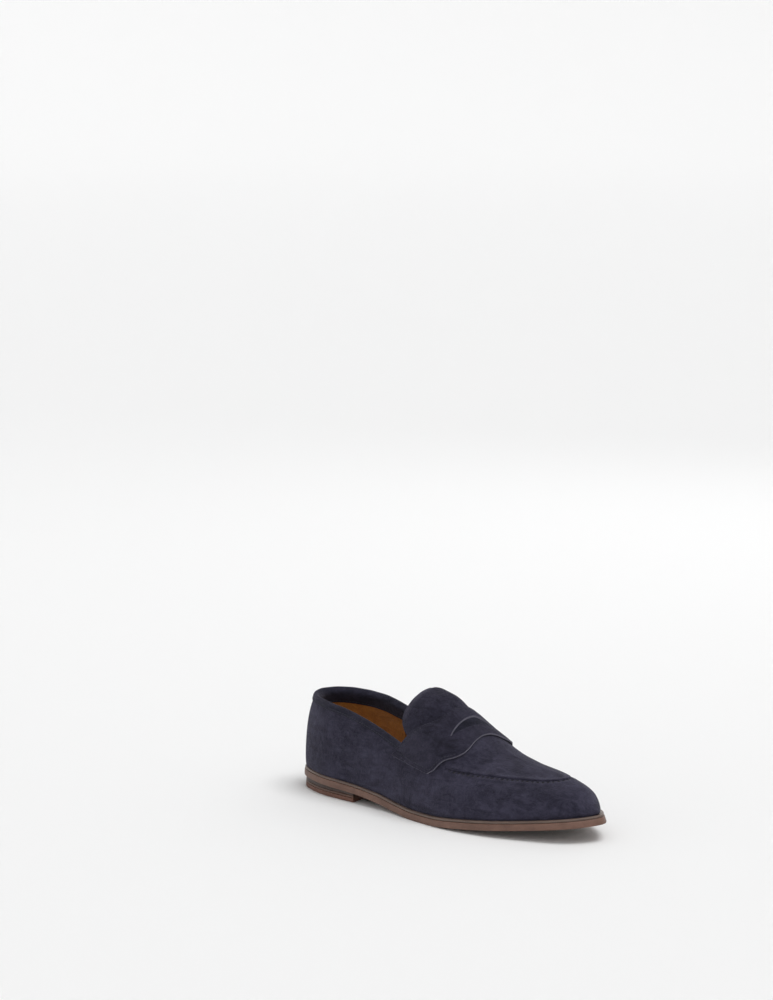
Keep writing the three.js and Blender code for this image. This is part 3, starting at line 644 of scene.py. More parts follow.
def tread(name):
    """Outsole: a grey-brown crinkled middle that fades into a smooth reddish border, and burnished edges."""
    m = Bench(name)
    inset = m.mark("inset") + 2.6 * m.noise(110, 3, 0.6)
    middle = m.ramp(inset * 0.05, (0.5, 0), (0.66, 1))
    cells = m.cells(620, 0.2, (1.0, 0.7, 0.4))
    dust = m.noise(90, 5, 0.65)
    speck = m.noise(1100, 3, 0.7)
    worn = m.ramp(dust, (0.35, 0), (0.7, 1))
    border = m.blend(worn, rgb(122, 90, 76), rgb(98, 70, 58))
    tan_grey = m.blend(worn, rgb(116, 98, 82), rgb(92, 76, 64))
    tan_grey = m.blend((1 - cells) * 0.55, tan_grey, rgb(62, 48, 40))
    shade = m.blend(middle, border, tan_grey)
    shade = m.blend(speck * 0.3, shade, rgb(70, 50, 42))
    normal = m.bump(cells * middle, 0.3, 0.8)
    normal = m.bump(speck, 0.1, 0.5, normal)
    return m.finish(shade, 0.55 + 0.25 * middle, normal)


def rubber(name):
    """Heel top lift: reddish rubber with a fine leather-like grain."""
    m = Bench(name)
    cells = m.cells(900, 0.15)
    slow = m.ramp(m.noise(50, 4, 0.6), (0.3, 0), (0.75, 1))
    shade = m.blend(slow, rgb(118, 80, 64), rgb(94, 62, 50))
    shade = m.blend((1 - cells) * 0.4, shade, rgb(84, 50, 40))
    return m.finish(shade, 0.6 + 0.1 * slow, m.bump(cells, 0.08, 0.7))


def thread(name, colour, dark):
    """Waxed two-ply thread: the plies wind round each stitch, with painted shade in the groove between them.
    """
    m = Bench(name)
    turn = m.node("Math", {"operation": "SINE"}, {0: m.mark("ply") * (2 * math.pi)})
    ply = turn * 0.5 + 0.5
    fluff = m.noise(2600, 2, 0.6)
    # The colour turns with the twist from the darker copy to the thread's colour: painted shade between the
    # plies.
    shade = m.blend(ply * 0.6 + fluff * 0.3, dark, colour)
    return m.finish(shade, 0.62, m.bump(ply + 0.3 * fluff, 0.12, 0.8))


def cork(name):
    """Cork filler: pressed granules in several browns."""
    m = Bench(name)
    grains = m.node("TexVoronoi", inputs={"Vector": m.place, "Scale": 650}, output="Color")
    tone = m.ramp(m.blend(0.3, grains, m.noise(900)), (0.2, 0), (0.8, 1))
    shade = m.blend(tone, rgb(92, 58, 34), rgb(186, 138, 88))
    return m.finish(shade, 0.85, m.bump(tone, 0.2, 0.6))


def board(name, pale, deep, scale=500):
    """Pressed fibre board: short fibres lying every way."""
    m = Bench(name)
    fibres = m.noise(scale, 5, 0.7, (2.2, 0.6, 1.0), 1.6)
    cross = m.noise(scale, 4, 0.7, (0.6, 2.2, 1.0), 1.2)
    shade = m.blend(m.ramp(fibres, (0.35, 0), (0.65, 1)) * 0.6 + cross * 0.3, pale, deep)
    return m.finish(shade, 0.86, m.bump(fibres + cross, 0.1, 0.6))


def foam(name):
    """Latex foam pad: open pores."""
    m = Bench(name)
    pores = m.ramp(m.node("TexVoronoi", inputs={"Vector": m.place, "Scale": 1400}), (0.1, 0), (0.45, 1))
    shade = m.blend(pores, rgb(170, 156, 124), rgb(222, 210, 180))
    return m.finish(shade, 0.9, m.bump(pores, 0.15, 0.8))


def metal(name, colour, gloss):
    """Drawn metal: fine scratches along it, and dull spots."""
    m = Bench(name)
    scratch = m.noise(700, 4, 0.7, (0.15, 4.0, 4.0))
    spots = m.ramp(m.noise(260, 4, 0.6), (0.4, 0), (0.7, 1))
    shade = m.blend(spots * 0.4 + scratch * 0.3, colour, shaded(colour, 0.5))
    normal = m.bump(scratch, 0.03, 0.5)
    return m.finish(shade, gloss + 0.25 * spots + 0.1 * scratch, normal, {"Metallic": 1.0})


NAVY_DARK, NAVY, NAVY_RIM = rgb(28, 27, 39), rgb(62, 60, 76), rgb(108, 106, 118)
TAN, TAN_DEEP = rgb(136, 88, 28), rgb(100, 60, 16)
UPPER = suede("navy_suede", NAVY_DARK, NAVY)
CUT_SUEDE = suede("navy_suede_cut_edge", rgb(22, 21, 32), rgb(51, 49, 63), NAVY_RIM)
TRIM = suede("navy_suede_trim", rgb(22, 22, 32), rgb(46, 45, 58))
LINING = leather("tan_lining_leather", TAN, TAN_DEEP)
GRIP = suede("tan_grip_suede", rgb(150, 100, 50), rgb(178, 126, 66), sheen=0.2)
SOCK = leather("tan_sock_leather", rgb(190, 138, 72), rgb(160, 108, 52), 0.42)
# Underlay seen through the strap's slit: partly a darker nap, partly painted shade for the recess under the
# strap.
SHADED = suede("underlay_suede_dark_nap_and_painted_shade", rgb(24, 24, 34), rgb(40, 40, 52), sheen=0.15)
# Each thread's second colour is a darker copy of its first, used as painted shade between the plies.
NAVY_THREAD = thread("navy_thread", rgb(46, 48, 66), rgb(24, 25, 36))
DARK_THREAD = thread("dark_thread", rgb(16, 16, 24), rgb(6, 6, 10))
SOLE_THREAD = thread("brown_thread", rgb(52, 32, 24), rgb(24, 14, 10))
TAN_THREAD = thread("tan_thread", rgb(190, 142, 80), rgb(130, 90, 44))


# ---------- camera, light and floor ----------
CAMERA_AZIMUTH, CAMERA_ELEVATION, CAMERA_DISTANCE = 39.48, 14.72, 2.5
AIM = (200.0, 0.0, 0.0)
AIM_RIGHT, AIM_UP = 117.37, -320.28
FOCAL = 3211.0
FLOOR_REACH, FLOOR_BEND, WALL_TOP = 9.0, 6.0, 8.0
SKY = 0.5


def set_camera():
    """Level camera on a circle round the aim point, turned so that the aim point falls right of and below the
    middle of the picture by the given parts of the focal length."""
    azimuth, elevation = math.radians(CAMERA_AZIMUTH), math.radians(CAMERA_ELEVATION)
    back = Vector((math.sin(azimuth) * math.cos(elevation), -math.cos(azimuth) * math.cos(elevation),
                   math.sin(elevation)))
    aim = Vector((np.array(AIM) + SHIFT) / 1000)
    ray = Vector((AIM_RIGHT, AIM_UP, FOCAL)).normalized()
    turn = math.asin(ray.x / math.cos(elevation))
    pitch = math.atan2(ray.y, ray.z) + math.atan2(math.sin(elevation), math.cos(elevation) * math.cos(turn))
    level = Vector((-math.sin(azimuth), math.cos(azimuth), 0))
    level = Matrix.Rotation(turn, 3, "Z") @ level
    forward = level * math.cos(pitch) - Vector((0, 0, math.sin(pitch)))
    data = bpy.data.cameras.new("camera")
    data.lens = FOCAL * 36 / 1000
    data.sensor_width = 36
    data.clip_end = 50
    camera = link(bpy.data.objects.new("camera", data))
    camera.location = aim + back * CAMERA_DISTANCE
    camera.rotation_euler = forward.to_track_quat("-Z", "Y").to_euler()
    bpy.context.scene.camera = camera


def face(data, place, target=(0, 0, 0)):
    """Puts a light at a place, facing a target."""
    light = link(bpy.data.objects.new(data.name, data))
    light.location = place
    light.rotation_euler = (Vector(target) - Vector(place)).to_track_quat("-Z", "Y").to_euler()


def add_sun(name, toward, power, width):
    """Broad far light that shines evenly on the whole floor from a direction; width is in degrees."""
    data = bpy.data.lights.new(name, "SUN")
    data.energy = power
    data.angle = math.radians(width)
    face(data, toward)


def set_stage():
    """Round pale floor that curves up into a wall far away on every side, white sky and soft lights."""
    m = Bench("pale_paper")
    tooth = m.noise(900, 3, 0.6)
    paper = m.finish(m.blend(tooth, rgb(243, 243, 243), rgb(246, 246, 246)), 0.9)
    bend = np.linspace(0, np.pi / 2, 24)[1:]
    flat = np.linspace(0.5, FLOOR_REACH, 18)
    reach = np.concatenate([flat, FLOOR_REACH + FLOOR_BEND * np.sin(bend), [FLOOR_REACH + FLOOR_BEND]])
    rise = np.concatenate([0 * flat, FLOOR_BEND * (1 - np.cos(bend)), [WALL_TOP]]) - 0.0002
    turn = np.linspace(0, 2 * np.pi, 96, endpoint=False)
    plan = reach[:, None, None] * np.stack([np.cos(turn), np.sin(turn)], -1)
    points = np.concatenate([plan, np.repeat(rise[:, None, None], len(turn), 1)], -1)
    mesh = bpy.data.meshes.new("floor")
    faces = quads_of(len(reach), len(turn), wrap_columns=True)[:, ::-1].tolist()
    mesh.from_pydata(points.reshape(-1, 3).tolist(), [], [list(range(len(turn))), *faces])
    mesh.materials.append(paper)
    mesh.polygons.foreach_set("use_smooth", np.ones(len(mesh.polygons), bool))
    link(bpy.data.objects.new("floor", mesh))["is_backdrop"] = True
    bpy.context.scene.view_settings.view_transform = "Standard"
    world = bpy.data.worlds.new("studio")
    world.use_nodes = True
    background = world.node_tree.nodes["Background"]
    background.inputs["Color"].default_value = (1, 1, 1, 1)
    background.inputs["Strength"].default_value = SKY
    bpy.context.scene.world = world
    add_sun("key", (0.3, 0.15, 1.0), 1.35, 32)
    add_sun("side_fill", (0.9, -1.0, 1.1), 0.22, 60)
    rim = bpy.data.lights.new("back_rim", "AREA")
    rim.shape = "SQUARE"
    rim.size = 1.2
    rim.energy = 2.0
    face(rim, (-0.5, 1.4, 1.0), (0.03, 0, 0.04))


# ---------- sole ----------
COLUMNS = full_ring(150, 150)
SQUARE_IN = 5.0


def spine_of(p):
    """Point of the spine that belongs to each featherline point."""
    xc = station(p[:, 0])
    return np.stack([xc, ridge_y(xc)], -1)


def drawn_in(p, n, reach):
    """Points inside the featherline: square to it for SQUARE_IN, then toward the spine, so that the ring
    stays open."""
    reach = np.broadcast_to(reach, p.shape[:1])
    spine = spine_of(p)
    q = p - n * np.minimum(reach, SQUARE_IN)[:, None]
    share = np.clip(np.maximum(reach - SQUARE_IN, 0) / np.linalg.norm(spine - q, axis=1), 0, 0.95)
    return q + (spine - q) * share[:, None]


def plan_rows(inset, height, lean=0.0):
    """Ring of the sole outline moved inward by an inset and outward by a lean, at a height given along x."""
    p, n = foot(COLUMNS)
    q = drawn_in(p, n, inset - lean - welt(p[:, 0]))
    return lifted(q, height(q[:, 0]))


def toward_spine(ring, count, height):
    """Rows from a ring to the spine of the sole."""
    spine = spine_of(foot(COLUMNS)[0])
    steps = np.linspace(0, 1, count + 1)[1:]
    plans = [(ring[:, :2] * (1 - f) + spine * f, f) for f in steps]
    return [lifted(q, height(q[:, 0], f)) for q, f in plans]


def plate(top, bottom, steps, low, high):
    """Closed plate: its top from the spine to the edge, its edge, and its underside back to the spine."""
    over = toward_spine(top[0], steps, high)[::-1]
    under = toward_spine(bottom[-1], steps, low)
    rows = [*over, *top, *bottom, *under]
    grid = np.stack(rows)
    return grid.reshape(-1, 3), quads_of(len(rows), len(COLUMNS), wrap_columns=True), len(over), len(under)


def make_outsole():
    """Leather outsole: rounded edge that leans out at the toe, a stitch groove and a crinkled middle."""
    x = foot(COLUMNS)[0][:, 0]
    lean = 0.25 + 1.5 * smooth(x, 240, 290)
    high = lambda q, f=0: underside(q) + OUTSOLE_T
    low = lambda q, f=0: underside(q)
    groove = smooth(station(x), 112, 122)
    top = [plan_rows(6, high), plan_rows(0.7, high), plan_rows(0.25, lambda q: high(q) - 0.12)]
    top.append(plan_rows(0.0, lambda q: high(q) - 0.5, 0.1 * lean))
    side = [plan_rows(0, lambda q, k=k: high(q) * (1 - k) + low(q) * k,
                      k * lean + 0.12 * math.sin(math.pi * k)) for k in (0.25, 0.45, 0.65, 0.82)]
    turn = [plan_rows(0, lambda q: low(q) + 0.45, lean), plan_rows(0.12, lambda q: low(q) + 0.15, lean),
            plan_rows(0.5, low, lean)]
    steps = [(2, 0), (4, 0), (5.4, 0), (6.0, 0), (6.35, 0.35), (6.7, 0.85), (7.0, 0.95), (7.3, 0.85),
             (7.65, 0.35), (8.0, 0), (9, 0), (10.5, 0), (12, 0)]
    flat = []
    for inset, depth in steps:
        row = plan_rows(inset, low)
        row[:, 2] += depth * groove
        flat.append(row)
    rows = [*side, *turn, *flat]
    points, faces, over, under = plate(top, rows, 12, low, high)
    rim = [6, 0.7, 0, 0] + [0] * len(side) + [0, 0, 0.5] + [inset for inset, _ in steps]
    inset = np.concatenate([np.full(over, 20.0), rim, np.linspace(13, 40, under)])
    marks = {"inset": np.repeat(inset, len(COLUMNS))}
    build("outsole_leather", points, faces, tread("outsole_finish"), ["outsole"], marks=marks)
    path = plan_rows(7.0, lambda q: underside(q) + 0.75)
    use = station(x) > 118
    first = int(np.argmax(use))
    path = path[use] if use[0] == use[-1] else path[first:first + int(use.sum())]
    up = np.tile([0.0, 0.0, -1.0], (len(path), 1))
    stitches("outsole_stitches", path, up, SOLE_PITCH, (3.6, 0.5), SOLE_THREAD, ["outsole_stitch"])


def make_midsole():
    """Thin top layer of the sole with a rounded, slightly paler edge."""
    low = lambda q, f=0: underside(q) + OUTSOLE_T + 0.12
    high = lambda q, f=0: underside(q) + SOLE_T
    top = [plan_rows(8, high), plan_rows(1.2, high), plan_rows(0.75, lambda q: high(q) - 0.08)]
    side = [plan_rows(0.45, lambda q: high(q) - 0.4), plan_rows(0.35, lambda q: high(q) * 0.5 + low(q) * 0.5),
            plan_rows(0.4, lambda q: low(q) + 0.35), plan_rows(0.7, lambda q: low(q) + 0.08),
            plan_rows(1.2, low)]
    points, faces, _, _ = plate(top, side, 6, low, high)
    finish = sole_edge("welt_finish", rgb(112, 94, 84), rgb(84, 68, 60), 0.3)
    build("midsole_leather", points, faces, finish, ["midsole"])


def heel_outline(inset):
    """Heel block in plan: the sole edge behind the breast, then the breast, bowed back by 4 mm."""
    a, b = float(around(-1, station(BREAST))), float(around(1, station(BREAST))) - 1
    p, n = foot(np.linspace(a, b, 160))
    back = p + n * (welt(p[:, 0]) - inset)[:, None]
    u = np.linspace(0, 1, 42)[1:-1]
    breast = back[-1] * (1 - u[:, None]) + back[0] * u[:, None]
    breast[:, 0] -= 4 * (1 - (2 * u - 1) ** 2)
    ring = np.concatenate([back, breast])
    return 0.25 * np.roll(ring, 1, 0) + 0.5 * ring + 0.25 * np.roll(ring, -1, 0)


def lift(name, node, low, high, inset, finish):
    """One layer of the heel stack, with eased edges, closed by fans at its top and bottom."""
    centre = np.array([38.0, -2.0])
    section = [(1, 0, high), (0.5, 0, high), (0, 0.5, high), (0, 0.12, lambda x: high(x) - 0.12),
               (0, 0, lambda x: high(x) - 0.4), (0, 0, lambda x: low(x) + 0.4),
               (0, 0.12, lambda x: low(x) + 0.12), (0, 0.5, low), (0.5, 0, low), (1, 0, low)]
    plans = [(heel_outline(inset + grow) * (1 - f) + centre * f, z) for f, grow, z in section]
    grid = np.stack([lifted(q, z(q[:, 0])) for q, z in plans])
    build(name, grid.reshape(-1, 3), quads_of(*grid.shape[:2], wrap_columns=True), finish, [node])


def make_heel():
    flat = lambda z: (lambda x: z + 0 * x)
    first, second = HEEL * TOP_LIFT_SHARE, HEEL * LOWER_LIFT_SHARE
    # The lift colours are partly the stacked leather's and rubber's own tones and partly painted shade: set
    # about a quarter darker for shade falling over the heel.
    lift("top_lift_rubber", "heel_top_lift", flat(0.0), flat(first), 0.9, rubber("top_lift_finish"))
    lift("heel_lift_lower_leather", "heel_lift_lower", flat(first + LIFT_GAP), flat(second), 1.05,
         sole_edge("lower_lift_finish", rgb(98, 72, 58), rgb(68, 48, 40)))
    lift("heel_lift_upper_leather", "heel_lift_upper", flat(second + LIFT_GAP), lambda x: underside(x) - 0.1,
         1.15, sole_edge("upper_lift_finish", rgb(66, 48, 40), rgb(44, 31, 27)))


# ---------- upper ----------
def free_edge(s):
    """1 where the apron seam lies open in front of the strap, 0 beneath the strap."""
    xc = station(foot(s)[0][..., 0])
    outer = np.mod(s - S_BACK, 1.0) <= S_TOE - S_BACK
    start = np.where(outer, 166.0, 178.0)
    return smooth(xc, start, start + 8)


SEAM_S = over_toe(160.0, 2, 600)
SEAM_PATH = skin(SEAM_S, edge(SEAM_S) - SEAM_DROP / rate(SEAM_S))
SEAM_RUN = lengths(SEAM_PATH)


def seam_pull(s):
    """How strongly the stitches pull the leather in at each place along the seam: 1 at a stitch."""
    run = np.interp(np.mod(s - SEAM_S[0], 1.0) + SEAM_S[0], SEAM_S, SEAM_RUN)
    return (0.5 - 0.5 * np.cos(2 * np.pi * run / SEAM_PITCH)) ** 2


def unevenness(points):
    """Slow waves of a few tenths of a millimetre, as hand-pulled leather has."""
    x, y, z = points[..., 0], points[..., 1], points[..., 2]
    wave = np.sin(0.055 * x + 0.04 * z + 0.7) * np.sin(0.09 * z + 0.03 * y + 0.4)
    wave = wave + 0.6 * np.sin(0.13 * x - 0.11 * z + 1.9) * np.sin(0.07 * y + 2.1)
    return 0.22 * wave


WALL_COLUMNS = full_ring(120, 260)


def make_wall():
    """Side wall: one skin from the lasting margin up to the topline and the apron seam, with a furrow under
    the seam, a dent at each stitch and a soft tuck where it meets the sole."""
    s = WALL_COLUMNS
    e, g, free = edge(s), rate(s), free_edge(s)
    p, n = foot(s)

    def margin(reach, z):
        q = drawn_in(p, n, reach)
        return lifted(q, wall_foot(q[:, 0]) + z)

    rows = [margin(9, 0), margin(4, 0), margin(0.6, -0.2)]
    near = np.array([6.0, 5.2, 4.4, 3.8, 3.2, 2.7, 2.3, 1.9, 1.5, 1.1, 0.8, 0.5, 0.25, 0.0])
    climb = np.linspace(0, 1, 34)[:-1] ** 1.1
    low = girth_at(s, 0.05)
    levels = [low * (1 - f) + (e - near[0] / g) * f for f in climb] + [e - w / g for w in near]
    # dark holds the seam mark, which is painted shade: a line along the furrow under the bead and a spot round
    # each stitch dent.
    dark = [np.zeros(len(s))] * 3
    for t in levels:
        w = (e - t) * g
        dark.append(free * np.maximum(seam_pull(s) * bump(w, SEAM_DROP, 1.1), 0.25 * bump(w, 0.1, 0.4)))
        base = skin(s, t)
        furrow = -0.45 * bump(w, 0.0, 0.8) - (0.1 + 0.8 * seam_pull(s)) * bump(w, SEAM_DROP, 0.8)
        swell = 0.3 * bump(w, 4.0, 1.6)
        tuck = -0.5 * bump(base[:, 2] - wall_foot(base[:, 0]), 0, 1.2)
        rows.append(skin(s, t, free * (furrow + swell) + tuck + unevenness(base) * smooth(w, 0, 8)))
    for w in (0.0, 1.5, 5.0):
        rows.append(skin(s, e - w / g, -SUEDE_T))
    for f in (0.66, 0.33, 0.0):
        rows.append(skin(s, girth_at(s, 2.4) * (1 - f) + e * f, -SUEDE_T))
    rows += [margin(SUEDE_T + 0.2, SUEDE_T), margin(4, SUEDE_T), margin(9, SUEDE_T)]
    grid = np.stack(rows)
    faces = quads_of(len(rows), len(s), wrap_rows=True, wrap_columns=True)
    dark += [np.zeros(len(s))] * (len(rows) - len(dark))
    marks = {"seam": np.concatenate(dark)}
    build("side_wall_suede", grid.reshape(-1, 3), faces, UPPER, ["side_wall"], marks=marks, crease=70)


def make_apron():
    """Apron over the vamp: its edge is turned up into a bead that stands over the wall."""
    s = over_toe(159.0, 1, 250)
    e, g, free = edge(s), rate(s), free_edge(s)
    reach = np.array([0.0, 0.12, 0.3, 0.55, 0.85, 1.2, 1.6, 2.1, 2.7, 3.4, 4.3, 5.4, 7.0])
    bead = np.array([-0.7, 0.1, 0.65, 0.98, 1.12, 1.12, 1.0, 0.8, 0.56, 0.34, 0.15, 0.03, 0.0])
    levels = [e + w / g for w in reach]
    levels += [levels[-1] * (1 - f) + f for f in np.linspace(0, 1, 30)[1:]]
    bead = np.concatenate([bead, np.zeros(29)])
    dent = bump(np.concatenate([reach, np.full(29, 40.0)]), 0.5, 0.9)
    top, bottom = [], []
    for t, rise, pull in zip(levels, bead, dent):
        base = skin(s, t)
        raised = free * (0.7 * rise - 0.25 * pull * seam_pull(s))
        top.append(skin(s, t, raised + unevenness(base) * smooth((t - e) * g, 2, 12) * (t < 0.97)))
        bottom.append(skin(s, t, free * 0.3 * rise - SUEDE_T))
    points, faces = shell(np.stack(top), np.stack(bottom))
    build("apron_suede", points, faces, UPPER, ["apron"], crease=75)
    use = free_edge(SEAM_S) > 0.35
    first = int(np.argmax(use))
    start = math.ceil(SEAM_RUN[first] / SEAM_PITCH) * SEAM_PITCH
    end = SEAM_RUN[use][-1]
    at = np.arange(start, end, 0.5)
    path = along(SEAM_PATH, at)
    outward = skin(SEAM_S, edge(SEAM_S) - SEAM_DROP / rate(SEAM_S), 1.0) - SEAM_PATH
    up = np.stack([np.interp(at, SEAM_RUN, outward[:, k]) for k in range(3)], -1)
    stitches("apron_seam_stitches", path, up, SEAM_PITCH, (2.1, 0.42), DARK_THREAD, ["apron_seam_thread"],
             lift=-0.5)


def strap_lines(c):
    """Rear and front edge of the strap, and the two lines of the slit between them, which meet outside it."""
    a = np.abs(c)
    rear, front = strap_rear(c), strap_front(c)
    u = np.clip(a / SLIT_HALF, 0, 1)
    share = (SLIT_LINE - rear) / (front - rear)
    share = share + (0.5 - share) * smooth(a, SLIT_HALF, SLIT_HALF + 0.25)
    middle = rear + (front - rear) * share
    behind = middle - SLIT_REAR * (1 - u**2) ** 0.6
    ahead = middle + SLIT_FRONT * (1 - u**2) ** 0.9
    return rear, behind, ahead, front


def tab_line(side):
    """Stitch line of one tab in (c, x): down inside its front edge, along its foot and up its rear edge."""
    inset = 2.6
    down = np.linspace(0.62, 0.945, 60)
    foot_c = 0.957
    a, b = strap_front(side * foot_c) - inset - 0.6, strap_rear(foot_c) + inset + 0.6
    up = np.linspace(0.945, 0.62, 60)
    c = np.concatenate([down, np.full(40, foot_c), up])
    x = np.concatenate([strap_front(side * down) - inset, np.linspace(a, b, 40), strap_rear(up) + inset])
    return side * c, x


def near_path(points, path):
    """Distance from each point to the nearest point of a path."""
    gap = points.reshape(-1, 1, 3) - path.reshape(1, -1, 3)
    return np.sqrt((gap**2).sum(-1).min(1)).reshape(points.shape[:-1])


def strap_grid(cs, d, trim=0.0):
    """Points of the strap from its rear edge to the slit and to its front edge; trim draws the edges in."""
    rear, behind, ahead, front = strap_lines(cs)
    rear, front = rear + trim, front - trim
    fine = np.array([0, 0.012, 0.03])
    f = np.concatenate([fine, np.linspace(0.06, 0.94, 12), 1 - fine[::-1]])
    x = np.concatenate([rear + (behind - rear) * f[:, None], ahead + (front - ahead) * f[:, None]])
    c = np.broadcast_to(cs, x.shape)
    return saddle(c, x, d), c, x, len(f)


def make_strap():
    """Saddle strap with a crescent slit: cut edges, a furrow along the tab stitches and a slight swell."""
    fine = np.array([0, 0.004, 0.01])
    half = np.concatenate([np.linspace(0, SLIT_HALF, 46), np.linspace(SLIT_HALF, 0.985, 46)[1:],
                           (1 - fine)[::-1]])
    cs = np.concatenate([-half[:0:-1], half])
    base, c, x, count = strap_grid(cs, 0.0)
    paths = [saddle(*tab_line(side), 0.0) for side in (-1, 1)]
    gap = np.minimum(near_path(base, paths[0]), near_path(base, paths[1]))
    rear, _, _, front = strap_lines(cs)
    across = np.minimum(x - rear, front - x)
    pillow = 0.25 * smooth(across, 0, 5)
    relief = pillow - 0.38 * bump(gap, 0, 0.6) - 0.1 * bump(gap, 0, 1.8)
    top = saddle(c, x, STRAP_TOP + relief)
    bottom = saddle(c, x, STRAP_BASE)
    keep = np.ones((base.shape[0] - 1, base.shape[1] - 1), bool)
    keep[count - 1] = False
    rim = np.zeros(base.shape[:2])
    rim[[0, -1], :] = 1
    rim[:, [0, -1]] = 1
    rim[count - 1:count + 1, np.abs(cs) <= SLIT_HALF] = 1
    points, faces = shell(top, bottom, keep)
    build("saddle_strap_suede", points, faces, CUT_SUEDE, ["saddle_strap"], marks=rim_marks(rim), bevel=0.22)
    inner_top, _, _, _ = strap_grid(cs * 0.985, STRAP_BASE - 0.05, 1.0)
    inner_low, _, _, _ = strap_grid(cs * 0.985, STRAP_BASE - 0.75, 1.0)
    points, faces = shell(inner_top, inner_low)
    # The backing wears the underlay suede, darkened with painted shade where it shows through the slit.
    build("strap_backing_suede", points, faces, SHADED, ["strap_backing"])
    for side, label in ((-1, "outer"), (1, "inner")):
        path = saddle(*tab_line(side), STRAP_TOP)
        up = saddle(*tab_line(side), STRAP_TOP + 1) - path
        stitches(f"strap_stitches_{label}", path, up, STRAP_PITCH, (1.9, 0.3), NAVY_THREAD,
                 [f"strap_thread_{label}"], dip=0.35, lift=-0.02)


def tongue_dive(c):
    """How far the tongue sinks inside the collar at its two sides."""
    return -4.6 * smooth(np.abs(c), 0.72, 0.84)


def tongue_crown(c, x):
    """Fullness of the free flap: it swells behind the strap and rolls down over its last few millimetres."""
    back = x - tongue_rear(c)
    low = strap_rear(c) - x
    fade = 1 - smooth(np.abs(c), 0.15, 0.9)
    return (4.6 * smooth(low, -1, 16) - 2.8 * (1 - smooth(back, 0, 10)) ** 2) * fade


def hinge_ends():
    """Start and end of the bend across the tongue's hinge, square to its axis."""
    joint = frame["joints"][0]
    place, axis = Vector(joint["pos_m"]), Vector(joint["axis"])
    behind = axis.cross(Vector((0, 0, 1)))
    behind.z = 0
    behind.normalize()
    if behind.x > 0:
        behind = -behind
    return place - behind * 0.002, place + behind * 0.007


def tongue_grid(cs, trim):
    """Columns, places along the shoe and rolled edge of the flap; trim draws its edge in."""
    rear = tongue_rear(cs) + trim
    front = np.maximum(np.minimum(strap_rear(cs) + 5.0, 158.5), rear + 2.5)
    f = np.concatenate([[0, 0.012, 0.03, 0.06], np.linspace(0.1, 1, 34)])
    x = rear + (front - rear) * f[:, None]
    c = np.broadcast_to(cs, x.shape)
    return c, x, bump(x - rear, 0, 1.6)


def make_tongue():
    """Tongue: a rounded flap that runs under the strap, turned down along its edge, and its lining."""
    cs = np.linspace(-0.8, 0.8, 150)
    c, x, roll = tongue_grid(cs, 0.0)
    d = tongue_dive(c) - 0.35 * roll
    base = saddle(c, x, 0.0)
    crown = tongue_crown(c, x)
    swell = 0.3 * smooth(x - x[0], 1, 8) + unevenness(base)
    points, faces = shell(saddle(c, x, d + crown - 0.1 + 0.5 * swell), saddle(c, x, d + crown - 1.4))
    start, end = hinge_ends()
    rim = np.zeros(c.shape)
    rim[0] = 1
    tongue = build("tongue_suede", points, faces, CUT_SUEDE, ["tongue"], bevel=0.35, marks=rim_marks(rim))
    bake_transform(tongue, "shoe", "tongue", start=start, end=end)
    c, x, _ = tongue_grid(cs * 0.985, 0.9)
    d = tongue_dive(c) + tongue_crown(c, x)
    points, faces = shell(saddle(c, x, d - 1.42), saddle(c, x, d - 2.3))
    lining = build("tongue_lining_leather", points, faces, LINING, ["tongue_lining"], bevel=0.2)
    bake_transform(lining, "shoe", "tongue", start=start, end=end)


COLLAR_S = np.linspace(float(around(1, 138.0)) - 1, float(around(-1, 126.0)), 420)
COLLAR_W = np.array([-5.4, -5.3, -4.9, -4.5, -4.1, -3.7, -3.0, -2.0, -1.0, 0.0, 0.8, 1.35, 1.6, 1.55, 1.3,
                     0.8, 0.0, -1.5, -4.0, -7.5, -9.0, -9.1, -9.0, -4.0, -0.5, 0.2, 0.2, -1.0, -4.0])
COLLAR_D = np.array([0.25, 0.75, 1.0, 0.98, 0.8, 1.0, 1.2, 1.3, 1.25, 1.0, 0.45, -0.5, -1.8, -3.0, -4.1, -4.9,
                     -5.4, -5.65, -5.7, -5.7, -5.6, -5.2, -4.85, -4.8, -4.6, -3.6, -1.2, 0.1, 0.15])


def make_collar():
    """Topline binding: a strip rolled over the edge, its section a closed loop of girth and stand-off pairs,
    with a furrow where it is stitched down."""
    s = COLLAR_S
    e, g = edge(s), rate(s)
    wobble = 0.1 * np.sin(s * 90 + 0.4) + 0.06 * np.sin(s * 233 + 1.1)
    rows = [skin(s, e + w / g, d + wobble * (0.2 < d or w > 0.5)) for w, d in zip(COLLAR_W, COLLAR_D)]
    grid = np.stack(rows)
    n, m = grid.shape[:2]
    caps = [[r * m for r in range(n)], [r * m + m - 1 for r in range(n)][::-1]]
    faces = quads_of(n, m, wrap_rows=True)
    build("collar_binding_suede", grid.reshape(-1, 3), faces, TRIM, ["collar_binding"], caps=caps, crease=70)
    sewn("collar_stitches", s, e - 4.1 / g, 0.8, NAVY_THREAD, ["collar_thread"], lift=0.12)
    sewn("collar_inner_stitches", s, e - 7.6 / g, -5.7, NAVY_THREAD, out=-1.0)


